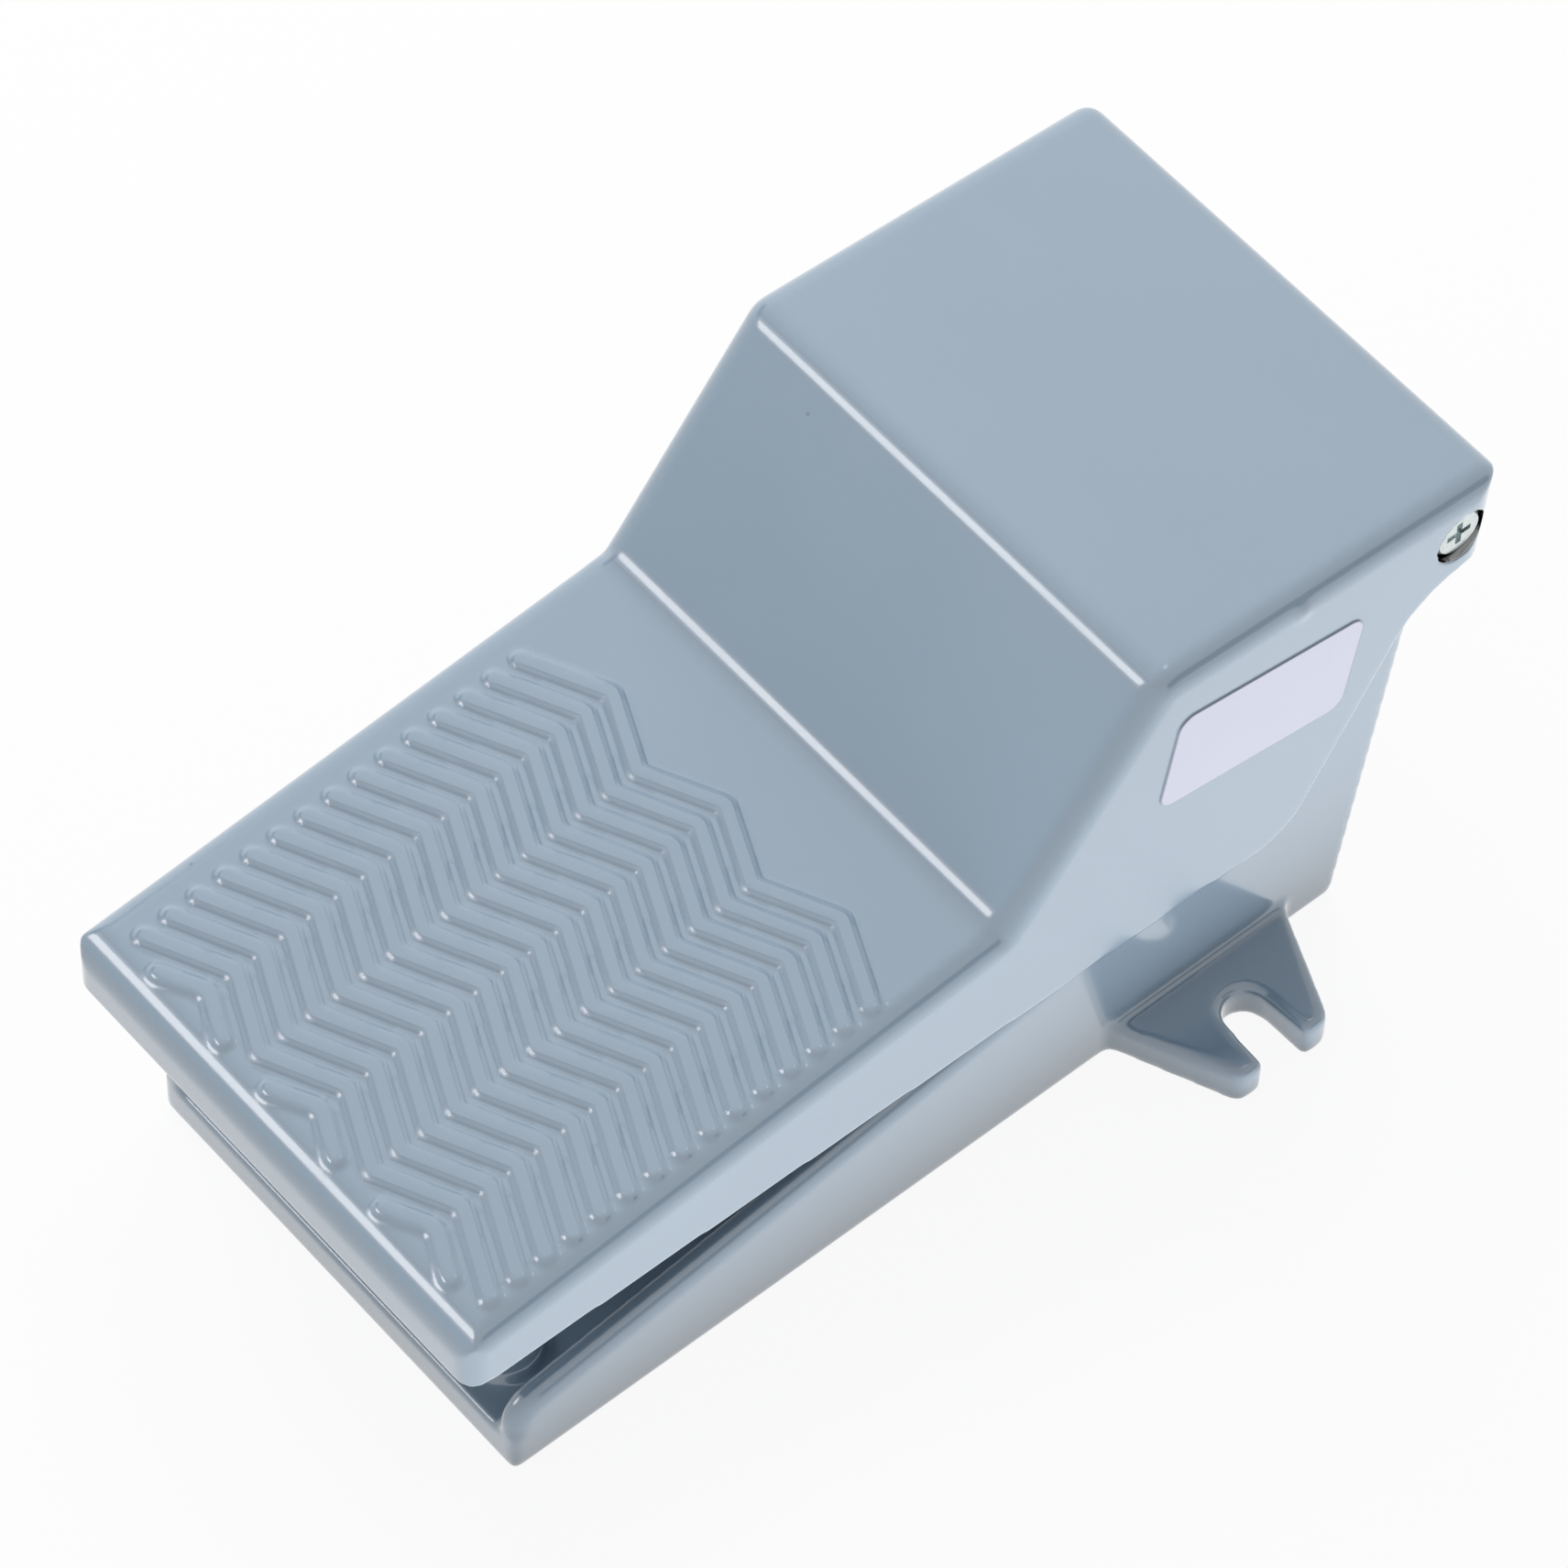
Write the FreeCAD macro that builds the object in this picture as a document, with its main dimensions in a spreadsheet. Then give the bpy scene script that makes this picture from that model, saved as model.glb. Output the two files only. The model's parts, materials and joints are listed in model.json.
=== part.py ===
import FreeCAD, Part
import math
import os
import Sketcher
from types import SimpleNamespace
from FreeCAD import Placement, Rotation, Vector

# Foot pedal air valve: a cast base with two fixing ears, a cast treadle hinged at its heel, and a
# five-port spool valve that stands between the base uprights and is pushed by the treadle.
# Frame: X to the label side, Y from toe to heel, Z up, origin on the floor under the middle.

# Driving dimensions, in millimetres and degrees
DIMENSIONS = [
    ("pedal_length", 212.0, "toe to heel of the treadle"),
    ("toe_height", 55.4, "floor to the front edge of the tread"),
    ("toe_depth", 12.8, "height of the toe face"),
    ("tread_run", 107.5, "toe to the crease below the riser"),
    ("tread_slope", 5.5, "angle of the tread"),
    ("riser_slope", 52.5, "angle of the riser"),
    ("hood_slope", 3.65, "fall of the hood towards the heel"),
    ("shell_wall", 3.5, "wall of the treadle casting"),
    ("side_gap", 1.25, "running gap between base and treadle sides"),
    ("skirt_back", 42.4, "heel to the rear corner of the side skirt"),
    ("skirt_height", 38.6, "floor to the rear corner of the side skirt"),
    ("skirt_slope", 60.0, "angle of the skirt behind that corner"),
    ("heel_skirt_drop", 8.7, "hinge axis to the skirt at the heel"),
    ("heel_lean", 3.2, "lean of the heel face over its height"),
    ("skirt_corner_radius", 11.0, "rounding of the rear skirt corner"),
    ("skirt_arch_radius", 17.0, "hollow rounding where the skirt meets the heel"),
    ("crease_radius", 7.0, "rounding of the crease"),
    ("ridge_radius", 5.2, "rounding of the ridge"),
    ("toe_corner_radius", 1.6, "plan rounding of the toe corners"),
    ("heel_corner_radius", 3.0, "plan rounding of the heel corners"),
    ("rim_radius", 4.2, "rounding of the upper rim"),
    ("heel_lip", 9.0, "depth of the lip left across the heel"),
    ("heel_lip_width", 66.0, "width of that lip"),
    ("rib_width", 3.5, "width of a tread rib at its foot"),
    ("rib_height", 0.8, "height of a tread rib"),
    ("rib_pitch", 5.465, "distance between tread ribs"),
    ("rib_count", 15, "full tread ribs"),
    ("rib_peak_step", 28.15, "distance between rib peaks"),
    ("rib_swing", 6.45, "peak to valley of a rib"),
    ("rib_bend_radius", 2.6, "rounding of a rib's bends"),
    ("rib_offset", 1.7, "rib pattern to the right of the middle"),
    ("rib_overrun", 14.9, "rib beyond its outer peaks"),
    ("rib_root", 0.5, "ribs rooted below the tread"),
    ("rib_chamfer", 0.55, "slope along a rib's top edges"),
    ("caret_reach", 8.2, "arm of a single peak in the row nearest the toe"),
    ("rear_peak_run", 91.7, "toe to the rearmost rib peak, along the tread"),
    ("base_width", 90.5, "width over the base side walls"),
    ("base_setback", 12.2, "toe of the treadle to the front of the base"),
    ("base_rear_back", 14.2, "hinge axis to the rear of the base at the floor"),
    ("base_wall", 4.5, "thickness of the base side walls"),
    ("floor_thickness", 8.0, "height of the base floor"),
    ("base_nose_height", 16.0, "height of the side walls at the front"),
    ("base_nose_radius", 6.5, "rounding of the side walls at the front"),
    ("base_wall_slope", 8.7, "rise of the side walls towards the heel"),
    ("base_knee_run", 118.0, "front of the base to the foot of the uprights"),
    ("base_rear_lean", 8.1, "backward lean of the uprights"),
    ("base_rim_radius", 1.2, "rounding along the side walls' rims"),
    ("base_knee_radius", 14.0, "hollow rounding at the foot of the uprights"),
    ("base_hip_drop", 4.0, "bend of the uprights below the skirt at the heel"),
    ("cell_depth", 4.8, "depth of the hollows under the floor"),
    ("cell_rib", 3.0, "ribs between those hollows"),
    ("cell_columns", 3, "hollows across the base"),
    ("cell_rows", 5, "hollows along the base"),
    ("ear_reach", 21.7, "reach of an ear beyond the side wall"),
    ("ear_thickness", 7.7, "thickness of an ear"),
    ("ear_root", 38.4, "length of an ear at its root"),
    ("ear_tip", 19.4, "length of an ear at its tip"),
    ("ear_centre_back", 30.9, "rear of the base to the middle of the ears"),
    ("ear_corner_radius", 3.0, "rounding of the ear corners"),
    ("slot_width", 8.3, "width of a fixing slot"),
    ("slot_flare", 0.6, "widening of the slot mouth, each side"),
    ("slot_spacing", 114.6, "distance between the slot ends' centres"),
    ("pivot_back", 9.8, "heel of the treadle to the hinge axis"),
    ("pivot_drop", 15.2, "ridge of the hood to the hinge axis"),
    ("lug_radius", 6.5, "rounding of the uprights about the hinge"),
    ("lug_shoulder", 1.5, "uprights end this far inside the rounding"),
    ("lug_inset", 2.5, "step in of the uprights at the hinge"),
    ("lug_depth", 8.0, "depth of the threaded lug"),
    ("lug_relief", 2.5, "room around the treadle's hinge boss"),
    ("screw_head_diameter", 9.5, "head of a hinge screw"),
    ("screw_head_height", 2.3, "height of that head"),
    ("screw_recess", 1.0, "head of a hinge screw below the treadle side"),
    ("screw_shoulder_diameter", 6.0, "shoulder of a hinge screw"),
    ("screw_thread_diameter", 5.0, "thread of a hinge screw"),
    ("screw_thread_length", 7.0, "thread of a hinge screw"),
    ("screw_head_crown", 0.6, "sloped edge of a hinge screw head"),
    ("screw_point", 0.5, "sloped end of a hinge screw"),
    ("cross_length", 5.0, "cross recess of a hinge screw"),
    ("cross_width", 1.2, "arm of that recess"),
    ("cross_depth", 1.4, "depth of that recess"),
    ("counterbore_clearance", 0.5, "counterbore around a hinge screw head"),
    ("pivot_boss_radius", 6.8, "boss inside the treadle at the hinge"),
    ("bush_diameter", 8.0, "hinge bush outside"),
    ("running_fit", 0.05, "radial play of a shaft in its hole"),
    ("press_clearance", 0.02, "radial play of a pressed bush"),
    ("washer_thickness", 1.0, "hinge washer"),
    ("washer_diameter", 11.0, "hinge washer"),
    ("joint_clearance", 0.1, "end play of the hinge"),
    ("stop_spread", 60.6, "distance between the treadle stops"),
    ("stop_run", 22.7, "toe of the treadle to its stops"),
    ("stop_boss_diameter", 12.8, "stop boss on the base floor"),
    ("stop_boss_height", 2.0, "stop boss above the base floor"),
    ("stop_post_diameter", 10.0, "stop post under the treadle"),
    ("pedal_travel", 5.5, "swing of the treadle"),
    ("spring_run", 85.0, "toe of the treadle to its return spring"),
    ("spring_diameter", 24.0, "return spring outside"),
    ("spring_wire", 2.0, "return spring wire"),
    ("spring_turns", 6.5, "return spring turns"),
    ("spring_seat_drop", 3.2, "spring seat below the tread"),
    ("spring_seat_diameter", 27.0, "spring seat under the tread"),
    ("spring_nub_diameter", 11.0, "centring nub of the upper spring seat"),
    ("spring_boss_diameter", 18.0, "centring boss on the base floor"),
    ("spring_boss_height", 4.0, "height of the centring pieces"),
    ("seat_clearance", 0.3, "clearance where pieces rest on each other loosely"),
    ("bulkhead_back", 46.2, "hinge axis to the face that carries the valve"),
    ("bulkhead_thickness", 5.0, "wall that carries the valve"),
    ("bulkhead_rise", 17.2, "middle of the valve body to the top of that wall"),
    ("bulkhead_shoulder", 12.0, "sloped shoulders of that wall"),
    ("valve_width", 50.0, "valve body across"),
    ("valve_depth", 30.0, "valve body front to back"),
    ("valve_height", 60.0, "valve body up"),
    ("valve_axis_depth", 13.0, "bulkhead to the spool axis"),
    ("cover_height", 6.0, "valve end covers"),
    ("gasket_height", 0.8, "gaskets under the end covers"),
    ("valve_floor_gap", 2.0, "valve above the base floor"),
    ("bore_diameter", 14.4, "spool bore"),
    ("spool_diameter", 13.8, "spool lands"),
    ("spool_waist_diameter", 9.4, "spool between the lands"),
    ("spool_well_depth", 8.0, "spring well in the spool's foot"),
    ("land_width", 4.6, "length of a spool land"),
    ("seal_cord", 1.6, "section of the spool seals"),
    ("port_diameter", 11.44, "threaded port, quarter inch"),
    ("supply_depth", 11.0, "thread of the supply port"),
    ("work_depth", 10.5, "threads of the two work ports"),
    ("exhaust_depth", 9.5, "threads of the two exhaust ports"),
    ("port_end", 9.0, "outer ports to the ends of the valve body"),
    ("port_column", 10.0, "port columns from the middle"),
    ("passage_diameter", 4.6, "passage from port to bore"),
    ("passage_stop", 2.0, "a passage ends this far behind the spool axis"),
    ("passage_column", 7.0, "passages from the middle"),
    ("valve_screw_diameter", 4.0, "screws that hold the valve"),
    ("valve_screw_spread", 40.4, "distance between those screws, across"),
    ("valve_screw_rise", 22.0, "distance between those screws, up"),
    ("valve_head_diameter", 7.0, "heads of those screws"),
    ("valve_head_height", 4.0, "heads of those screws"),
    ("valve_socket_width", 3.0, "hexagon socket across flats"),
    ("valve_socket_depth", 2.4, "hexagon socket"),
    ("valve_washer_diameter", 8.0, "washers under those heads"),
    ("valve_washer_thickness", 0.8, "washers under those heads"),
    ("screw_clearance", 0.4, "clearance hole over a screw"),
    ("valve_edge", 0.8, "sloped edges of valve and covers"),
    ("cover_screw_diameter", 3.0, "screws of the end covers"),
    ("cover_screw_spread", 38.0, "distance between cover screws"),
    ("cover_screw_reach", 8.0, "thread of a cover screw in the body"),
    ("cover_head_diameter", 5.4, "heads of the cover screws"),
    ("cover_head_height", 1.8, "heads of the cover screws"),
    ("socket_diameter", 2.4, "socket in those heads"),
    ("cover_web", 1.5, "floor of the lower cover's spring well"),
    ("wiper_diameter", 11.0, "wiper seal of the plunger"),
    ("wiper_height", 2.0, "wiper seal of the plunger"),
    ("plunger_diameter", 7.0, "plunger"),
    ("plunger_reach", 4.0, "button above the upper cover"),
    ("plunger_flange_diameter", 11.0, "collar that keeps the plunger in"),
    ("plunger_flange_height", 1.2, "collar that keeps the plunger in"),
    ("button_diameter", 10.0, "nylon button on the plunger"),
    ("button_height", 4.0, "nylon button on the plunger"),
    ("button_crown", 0.6, "sloped edge of the button"),
    ("spool_spring_wire", 0.8, "spool return spring wire"),
    ("spool_spring_diameter", 6.4, "spool return spring outside"),
    ("spool_spring_turns", 5.5, "spool return spring turns"),
    ("striker_diameter", 6.0, "striker screw"),
    ("striker_head_diameter", 10.0, "striker screw head"),
    ("striker_head_height", 2.5, "striker screw head"),
    ("striker_tip_diameter", 4.0, "flat in the middle of that head"),
    ("striker_crown", 0.8, "sloped edge around that flat"),
    ("striker_gap", 0.3, "button to striker at rest"),
    ("striker_stand", 0.5, "striker head to its lock nut"),
    ("striker_reach", 5.0, "striker thread in its boss"),
    ("striker_boss_diameter", 14.0, "boss under the hood for the striker"),
    ("striker_boss_length", 2.64, "length of that boss"),
    ("striker_nut_width", 10.0, "striker lock nut across flats"),
    ("striker_nut_height", 3.0, "striker lock nut"),
    ("label_length", 40.0, "side label along the treadle"),
    ("label_height", 21.5, "side label up"),
    ("label_thickness", 0.3, "side label"),
    ("label_tilt", 9.0, "fall of the side label towards the heel"),
    ("label_back", 51.9, "heel of the treadle to the label's middle"),
    ("label_drop", 25.4, "ridge of the hood to the label's middle"),
    ("label_corner_radius", 3.0, "corners of the side label"),
    ("overcut", 1.0, "how far a cut or a root passes the face that it meets"),
    ("post_root", 1.5, "how far posts and seats are rooted in the wall above them"),
]

document = FreeCAD.newDocument("FootPedalAirValve")
sheet = document.addObject("Spreadsheet::Sheet", "Sizes")
for line, (alias, number, meaning) in enumerate(DIMENSIONS, start=1):
    sheet.set("A%d" % line, alias)
    sheet.set("B%d" % line, str(number))
    sheet.setAlias("B%d" % line, alias)
    sheet.set("C%d" % line, meaning)
document.recompute()


# A size carries the formula that the document keeps and the number that it stands for
class Size:
    def __init__(self, formula, number):
        self.formula = formula
        self.number = number

    def _join(self, sign, other, number):
        return Size("(%s %s %s)" % (self.formula, sign, as_size(other).formula), number)

    def __add__(self, other):
        return self._join("+", other, self.number + as_size(other).number)

    def __sub__(self, other):
        return self._join("-", other, self.number - as_size(other).number)

    def __mul__(self, other):
        return self._join("*", other, self.number * as_size(other).number)

    def __truediv__(self, other):
        return self._join("/", other, self.number / as_size(other).number)

    def __radd__(self, other):
        return as_size(other) + self

    def __rsub__(self, other):
        return as_size(other) - self

    def __rmul__(self, other):
        return as_size(other) * self

    def __rtruediv__(self, other):
        return as_size(other) / self

    def __neg__(self):
        return Size("(-1 * %s)" % self.formula, -self.number)


def as_size(value):
    if isinstance(value, Size):
        return value
    return Size("(%r)" % float(value), float(value))


def tangent(angle):
    return Size("tan(%s)" % angle.formula, math.tan(math.radians(angle.number)))


def sine(angle):
    return Size("sin(%s)" % angle.formula, math.sin(math.radians(angle.number)))


def cosine(angle):
    return Size("cos(%s)" % angle.formula, math.cos(math.radians(angle.number)))


def root(value):
    return Size("sqrt(%s)" % value.formula, math.sqrt(value.number))


d = SimpleNamespace(**{alias: Size("Sizes." + alias, number) for alias, number, _ in DIMENSIONS})
ORIGIN = (0, 0, 0)
SUBPARTS = []


# Helpers that draw and build from sizes
def bind(thing, path, value):
    thing.setExpression(path, as_size(value).formula)


def new_body(label, place=ORIGIN):
    body = document.addObject("PartDesign::Body", label)
    body.Label = label
    body.Placement = Placement(Vector(*[as_size(c).number for c in place]), Rotation())
    for axis, value in zip("xyz", place):
        if isinstance(value, Size):
            bind(body, ".Placement.Base." + axis, value)
    SUBPARTS.append(body)
    return body


def origin_feature(body, role):
    return [feature for feature in body.Origin.OriginFeatures if feature.Role == role][0]


def new_sketch(body, name, plane, offset=ORIGIN, tilt=None):
    sketch = body.newObject("Sketcher::SketchObject", name)
    sketch.AttachmentSupport = (origin_feature(body, plane + "_Plane"), [""])
    sketch.MapMode = "FlatFace"
    turn = Rotation()
    if tilt is not None:
        turn = Rotation(Vector(*tilt[0]), tilt[1].number)
    sketch.AttachmentOffset = Placement(Vector(*[as_size(c).number for c in offset]), turn)
    for axis, value in zip("xyz", offset):
        if isinstance(value, Size):
            bind(sketch, ".AttachmentOffset.Base." + axis, value)
    if tilt is not None:
        bind(sketch, ".AttachmentOffset.Rotation.Angle", tilt[1])
    return sketch


def pin(sketch, element, end, point):
    for kind, value in zip(("DistanceX", "DistanceY"), point):
        size = as_size(value)
        index = sketch.addConstraint(Sketcher.Constraint(kind, -1, 1, element, end, size.number))
        if isinstance(value, Size):
            bind(sketch, "Constraints[%d]" % index, value)


def draw_polygon(sketch, points):
    first = sketch.GeometryCount
    corners = [Vector(as_size(u).number, as_size(v).number, 0) for u, v in points]
    for here, there in zip(corners, corners[1:] + corners[:1]):
        sketch.addGeometry(Part.LineSegment(here, there), False)
    for index in range(len(points)):
        following = first + (index + 1) % len(points)
        sketch.addConstraint(Sketcher.Constraint("Coincident", first + index, 2, following, 1))
    for index, point in enumerate(points):
        pin(sketch, first + index, 1, point)


def draw_circle(sketch, centre, diameter):
    place = Vector(as_size(centre[0]).number, as_size(centre[1]).number, 0)
    radius = as_size(diameter) / 2
    element = sketch.addGeometry(Part.Circle(place, Vector(0, 0, 1), radius.number), False)
    pin(sketch, element, 3, centre)
    index = sketch.addConstraint(Sketcher.Constraint("Radius", element, radius.number))
    bind(sketch, "Constraints[%d]" % index, radius)


def draw_arc(sketch, centre, radius, start_angle, end_angle):
    place = Vector(centre[0].number, centre[1].number, 0)
    circle = Part.Circle(place, Vector(0, 0, 1), radius.number)
    arc = Part.ArcOfCircle(circle, math.radians(start_angle), math.radians(end_angle))
    return sketch.addGeometry(arc, False)


def draw_line(sketch, start, end):
    ends = [Vector(point[0].number, point[1].number, 0) for point in (start, end)]
    element = sketch.addGeometry(Part.LineSegment(*ends), False)
    pin(sketch, element, 1, start)
    pin(sketch, element, 2, end)
    return element


def join(sketch, element, end, other, other_end):
    sketch.addConstraint(Sketcher.Constraint("Coincident", element, end, other, other_end))


# A band of even width along a zigzag, with arcs at its bends and round ends
def draw_zigzag(sketch, start, runs, slope, width, bend_radius):
    reach = root(slope * slope + 1)
    along = 1 / reach
    rise = slope / reach
    half = width / 2
    angle = math.degrees(math.atan(slope.number))
    corners = [start]
    for length, lift in runs:
        here = corners[-1]
        corners.append((here[0] + length, here[1] + slope * length * lift))
    lines = {}
    for side in (1, -1):
        lift = runs[0][1]
        chain = [(start[0] - rise * half * (side * lift), start[1] + along * half * side)]
        bends = []
        for (length, lift), corner in zip(runs[:-1], corners[1:]):
            centre = (corner[0], corner[1] - bend_radius / along * lift)
            radius = bend_radius + half * (side * lift)
            chain.append((centre[0] - rise * radius, centre[1] + along * radius * lift))
            chain.append((centre[0] + rise * radius, centre[1] + along * radius * lift))
            bends.append((centre, radius, lift))
        lift = runs[-1][1]
        end = corners[-1]
        chain.append((end[0] - rise * half * (side * lift), end[1] + along * half * side))
        lines[side] = [draw_line(sketch, *chain[k:k + 2]) for k in range(0, len(chain), 2)]
        for index, (centre, radius, lift) in enumerate(bends):
            before, after = lines[side][index], lines[side][index + 1]
            middle = 90 * lift
            arc = draw_arc(sketch, centre, radius, middle - angle, middle + angle)
            join(sketch, arc, 1, *((after, 1) if lift > 0 else (before, 2)))
            join(sketch, arc, 2, *((before, 2) if lift > 0 else (after, 1)))
            size = sketch.addConstraint(Sketcher.Constraint("Radius", arc, radius.number))
            bind(sketch, "Constraints[%d]" % size, radius)
    for corner, lift, where, near in ((corners[-1], runs[-1][1], -1, 2), (start, runs[0][1], 0, 1)):
        heading = angle * lift + (0 if near == 2 else 180)
        cap = draw_arc(sketch, corner, half, heading - 90, heading + 90)
        first, second = (-1, 1) if near == 2 else (1, -1)
        join(sketch, cap, 1, lines[first][where], near)
        join(sketch, cap, 2, lines[second][where], near)
        size = sketch.addConstraint(Sketcher.Constraint("DistanceX", -1, 1, cap, 3, corner[0].number))
        bind(sketch, "Constraints[%d]" % size, corner[0])


def polygon_sketch(body, name, plane, points, offset=ORIGIN, tilt=None):
    sketch = new_sketch(body, name, plane, offset, tilt)
    draw_polygon(sketch, points)
    return sketch


def circle_sketch(body, name, plane, circles, offset=ORIGIN):
    sketch = new_sketch(body, name, plane, offset)
    for centre, diameter in circles:
        draw_circle(sketch, centre, diameter)
    return sketch


def extrude(body, kind, name, sketch, length, backwards=False, both_ways=False):
    feature = body.newObject("PartDesign::" + kind, name)
    feature.Profile = sketch
    feature.Length = as_size(length).number
    bind(feature, "Length", length)
    feature.Reversed = backwards
    if both_ways:
        feature.SideType = "Symmetric"
    return feature


def pad(body, name, sketch, length, backwards=False, both_ways=False):
    return extrude(body, "Pad", name, sketch, length, backwards, both_ways)


# A pocket is turned round if its first direction cuts nothing away
def pocket(body, name, sketch, length, backwards=False, both_ways=False):
    document.recompute()
    before = body.Shape.Volume * (1 - LEAST_CUT)
    feature = extrude(body, "Pocket", name, sketch, length, backwards, both_ways)
    document.recompute()
    if feature.Shape.isNull() or feature.Shape.Volume > before:
        feature.Reversed = not backwards
        document.recompute()
        if feature.Shape.isNull() or feature.Shape.Volume > before:
            raise ValueError("pocket %s cuts nothing" % name)
    return feature


def revolve(body, kind, name, sketch, axis="V_Axis"):
    feature = body.newObject("PartDesign::" + kind, name)
    feature.Profile = sketch
    feature.ReferenceAxis = (sketch, [axis])
    feature.Angle = 360
    return feature


def mirror(body, name, features, plane="YZ_Plane"):
    feature = body.newObject("PartDesign::Mirrored", name)
    feature.Originals = features
    feature.MirrorPlane = (origin_feature(body, plane), [""])
    body.Tip = feature
    return feature


def repeat(body, name, features, axis, spacing, copies):
    feature = body.newObject("PartDesign::LinearPattern", name)
    feature.Originals = features
    feature.Direction = axis
    feature.Mode = "Spacing"
    feature.Offset = as_size(spacing).number
    bind(feature, "Offset", spacing)
    feature.Occurrences = int(as_size(copies).number)
    if isinstance(copies, Size):
        bind(feature, "Occurrences", copies)
    body.Tip = feature
    return feature


def round_edges(body, name, radius, wanted, kind="Fillet"):
    document.recompute()
    base = body.Tip
    edges = base.Shape.Edges
    names = ["Edge%d" % (index + 1) for index, edge in enumerate(edges) if wanted(edge)]
    if not names:
        raise ValueError("no edge found for %s" % name)
    feature = body.newObject("PartDesign::" + kind, name)
    feature.Base = (base, names)
    size_name = "Radius" if kind == "Fillet" else "Size"
    setattr(feature, size_name, radius.number)
    bind(feature, size_name, radius)
    body.Tip = feature
    document.recompute()
    if feature.Shape.isNull():
        raise ValueError("%s could not be rounded" % name)
    return feature


# Limits for telling places, directions and volumes apart
NEAR = 0.02
SMALL = 1e-6
LEAST_CUT = 1e-6
LOOKS_UP = 0.5


def runs_along(edge, axis):
    if edge.Curve.TypeId != "Part::GeomLine":
        return False
    start, end = edge.Vertexes[0].Point, edge.Vertexes[-1].Point
    return abs(abs((end - start).normalize().dot(axis)) - 1) < SMALL


def near_line(edge, y_size, z_size):
    middle = edge.CenterOfMass
    return abs(middle.y - y_size.number) < NEAR and abs(middle.z - z_size.number) < NEAR


ALONG_X = Vector(1, 0, 0)
ALONG_Z = Vector(0, 0, 1)

# Places worked out from the driving dimensions: the treadle and base along Y
toe_y = d.pedal_length / -2
heel_y = d.pedal_length / 2
heel_foot_y = heel_y - d.heel_lean
crease_y = toe_y + d.tread_run
crease_z = d.toe_height + d.tread_run * tangent(d.tread_slope)
toe_foot_z = d.toe_height - d.toe_depth
skirt_y = heel_y - d.skirt_back
pivot_y = heel_y - d.pivot_back
base_front_y = toe_y + d.base_setback
base_rear_y = pivot_y - d.base_rear_back
bulkhead_y = pivot_y - d.bulkhead_back
valve_rear_y = bulkhead_y + d.valve_depth
port_pitch = d.valve_height / 2 - d.port_end
spool_y = bulkhead_y + d.valve_axis_depth
spring_y = toe_y + d.spring_run
stop_y = toe_y + d.stop_run

# Across
base_half = d.base_width / 2
base_inner_half = base_half - d.base_wall
cavity_half = base_half + d.side_gap
pedal_half = cavity_half + d.shell_wall
lug_face_x = base_half - d.lug_inset
pivot_boss_x = lug_face_x + d.washer_thickness + d.joint_clearance + d.joint_clearance
head_seat_x = pedal_half - d.screw_recess - d.screw_head_height
head_clear_x = head_seat_x - d.joint_clearance
tread_wall = d.shell_wall / cosine(d.tread_slope)
riser_wall = d.shell_wall / cosine(d.riser_slope)
hood_wall = d.shell_wall / cosine(d.hood_slope)

# Up: the valve, its button and the striker are stacked on the base floor, and the hood is as
# high as that stack needs
valve_foot_z = d.floor_thickness + d.valve_floor_gap
body_z = valve_foot_z + d.cover_height + d.gasket_height
body_top_z = body_z + d.valve_height
body_middle_z = body_z + d.valve_height / 2
cover_z = body_top_z + d.gasket_height
cover_top_z = cover_z + d.cover_height
button_z = cover_top_z + d.plunger_reach
button_top_z = button_z + d.button_height
striker_z = button_top_z + d.striker_gap
striker_boss_z = striker_z + d.striker_head_height + d.striker_stand + d.striker_nut_height
striker_top_z = striker_boss_z + d.striker_reach - d.running_fit
hood_fall = tangent(d.hood_slope)
riser_rise = tangent(d.riser_slope)
spool_fall = (spool_y - crease_y + crease_z / riser_rise) * hood_fall
hood_over_spool_z = striker_boss_z + d.striker_boss_length + hood_wall
pedal_height = (hood_over_spool_z + spool_fall) / (1 + hood_fall / riser_rise)
ridge_y = crease_y + (pedal_height - crease_z) / riser_rise
heel_z = pedal_height - (heel_y - ridge_y) * hood_fall
pivot_z = pedal_height - d.pivot_drop
heel_skirt_z = pivot_z - d.heel_skirt_drop
arch_y = skirt_y + (heel_skirt_z - d.skirt_height) / tangent(d.skirt_slope)


# Height of the tread's underside and of the hood's at a place along the treadle
def under_tread(y):
    return d.toe_height + (y - toe_y) * tangent(d.tread_slope) - tread_wall


def under_hood(y):
    return pedal_height - (y - ridge_y) * hood_fall - hood_wall


spring_seat_z = under_tread(spring_y) - d.spring_seat_drop


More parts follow.
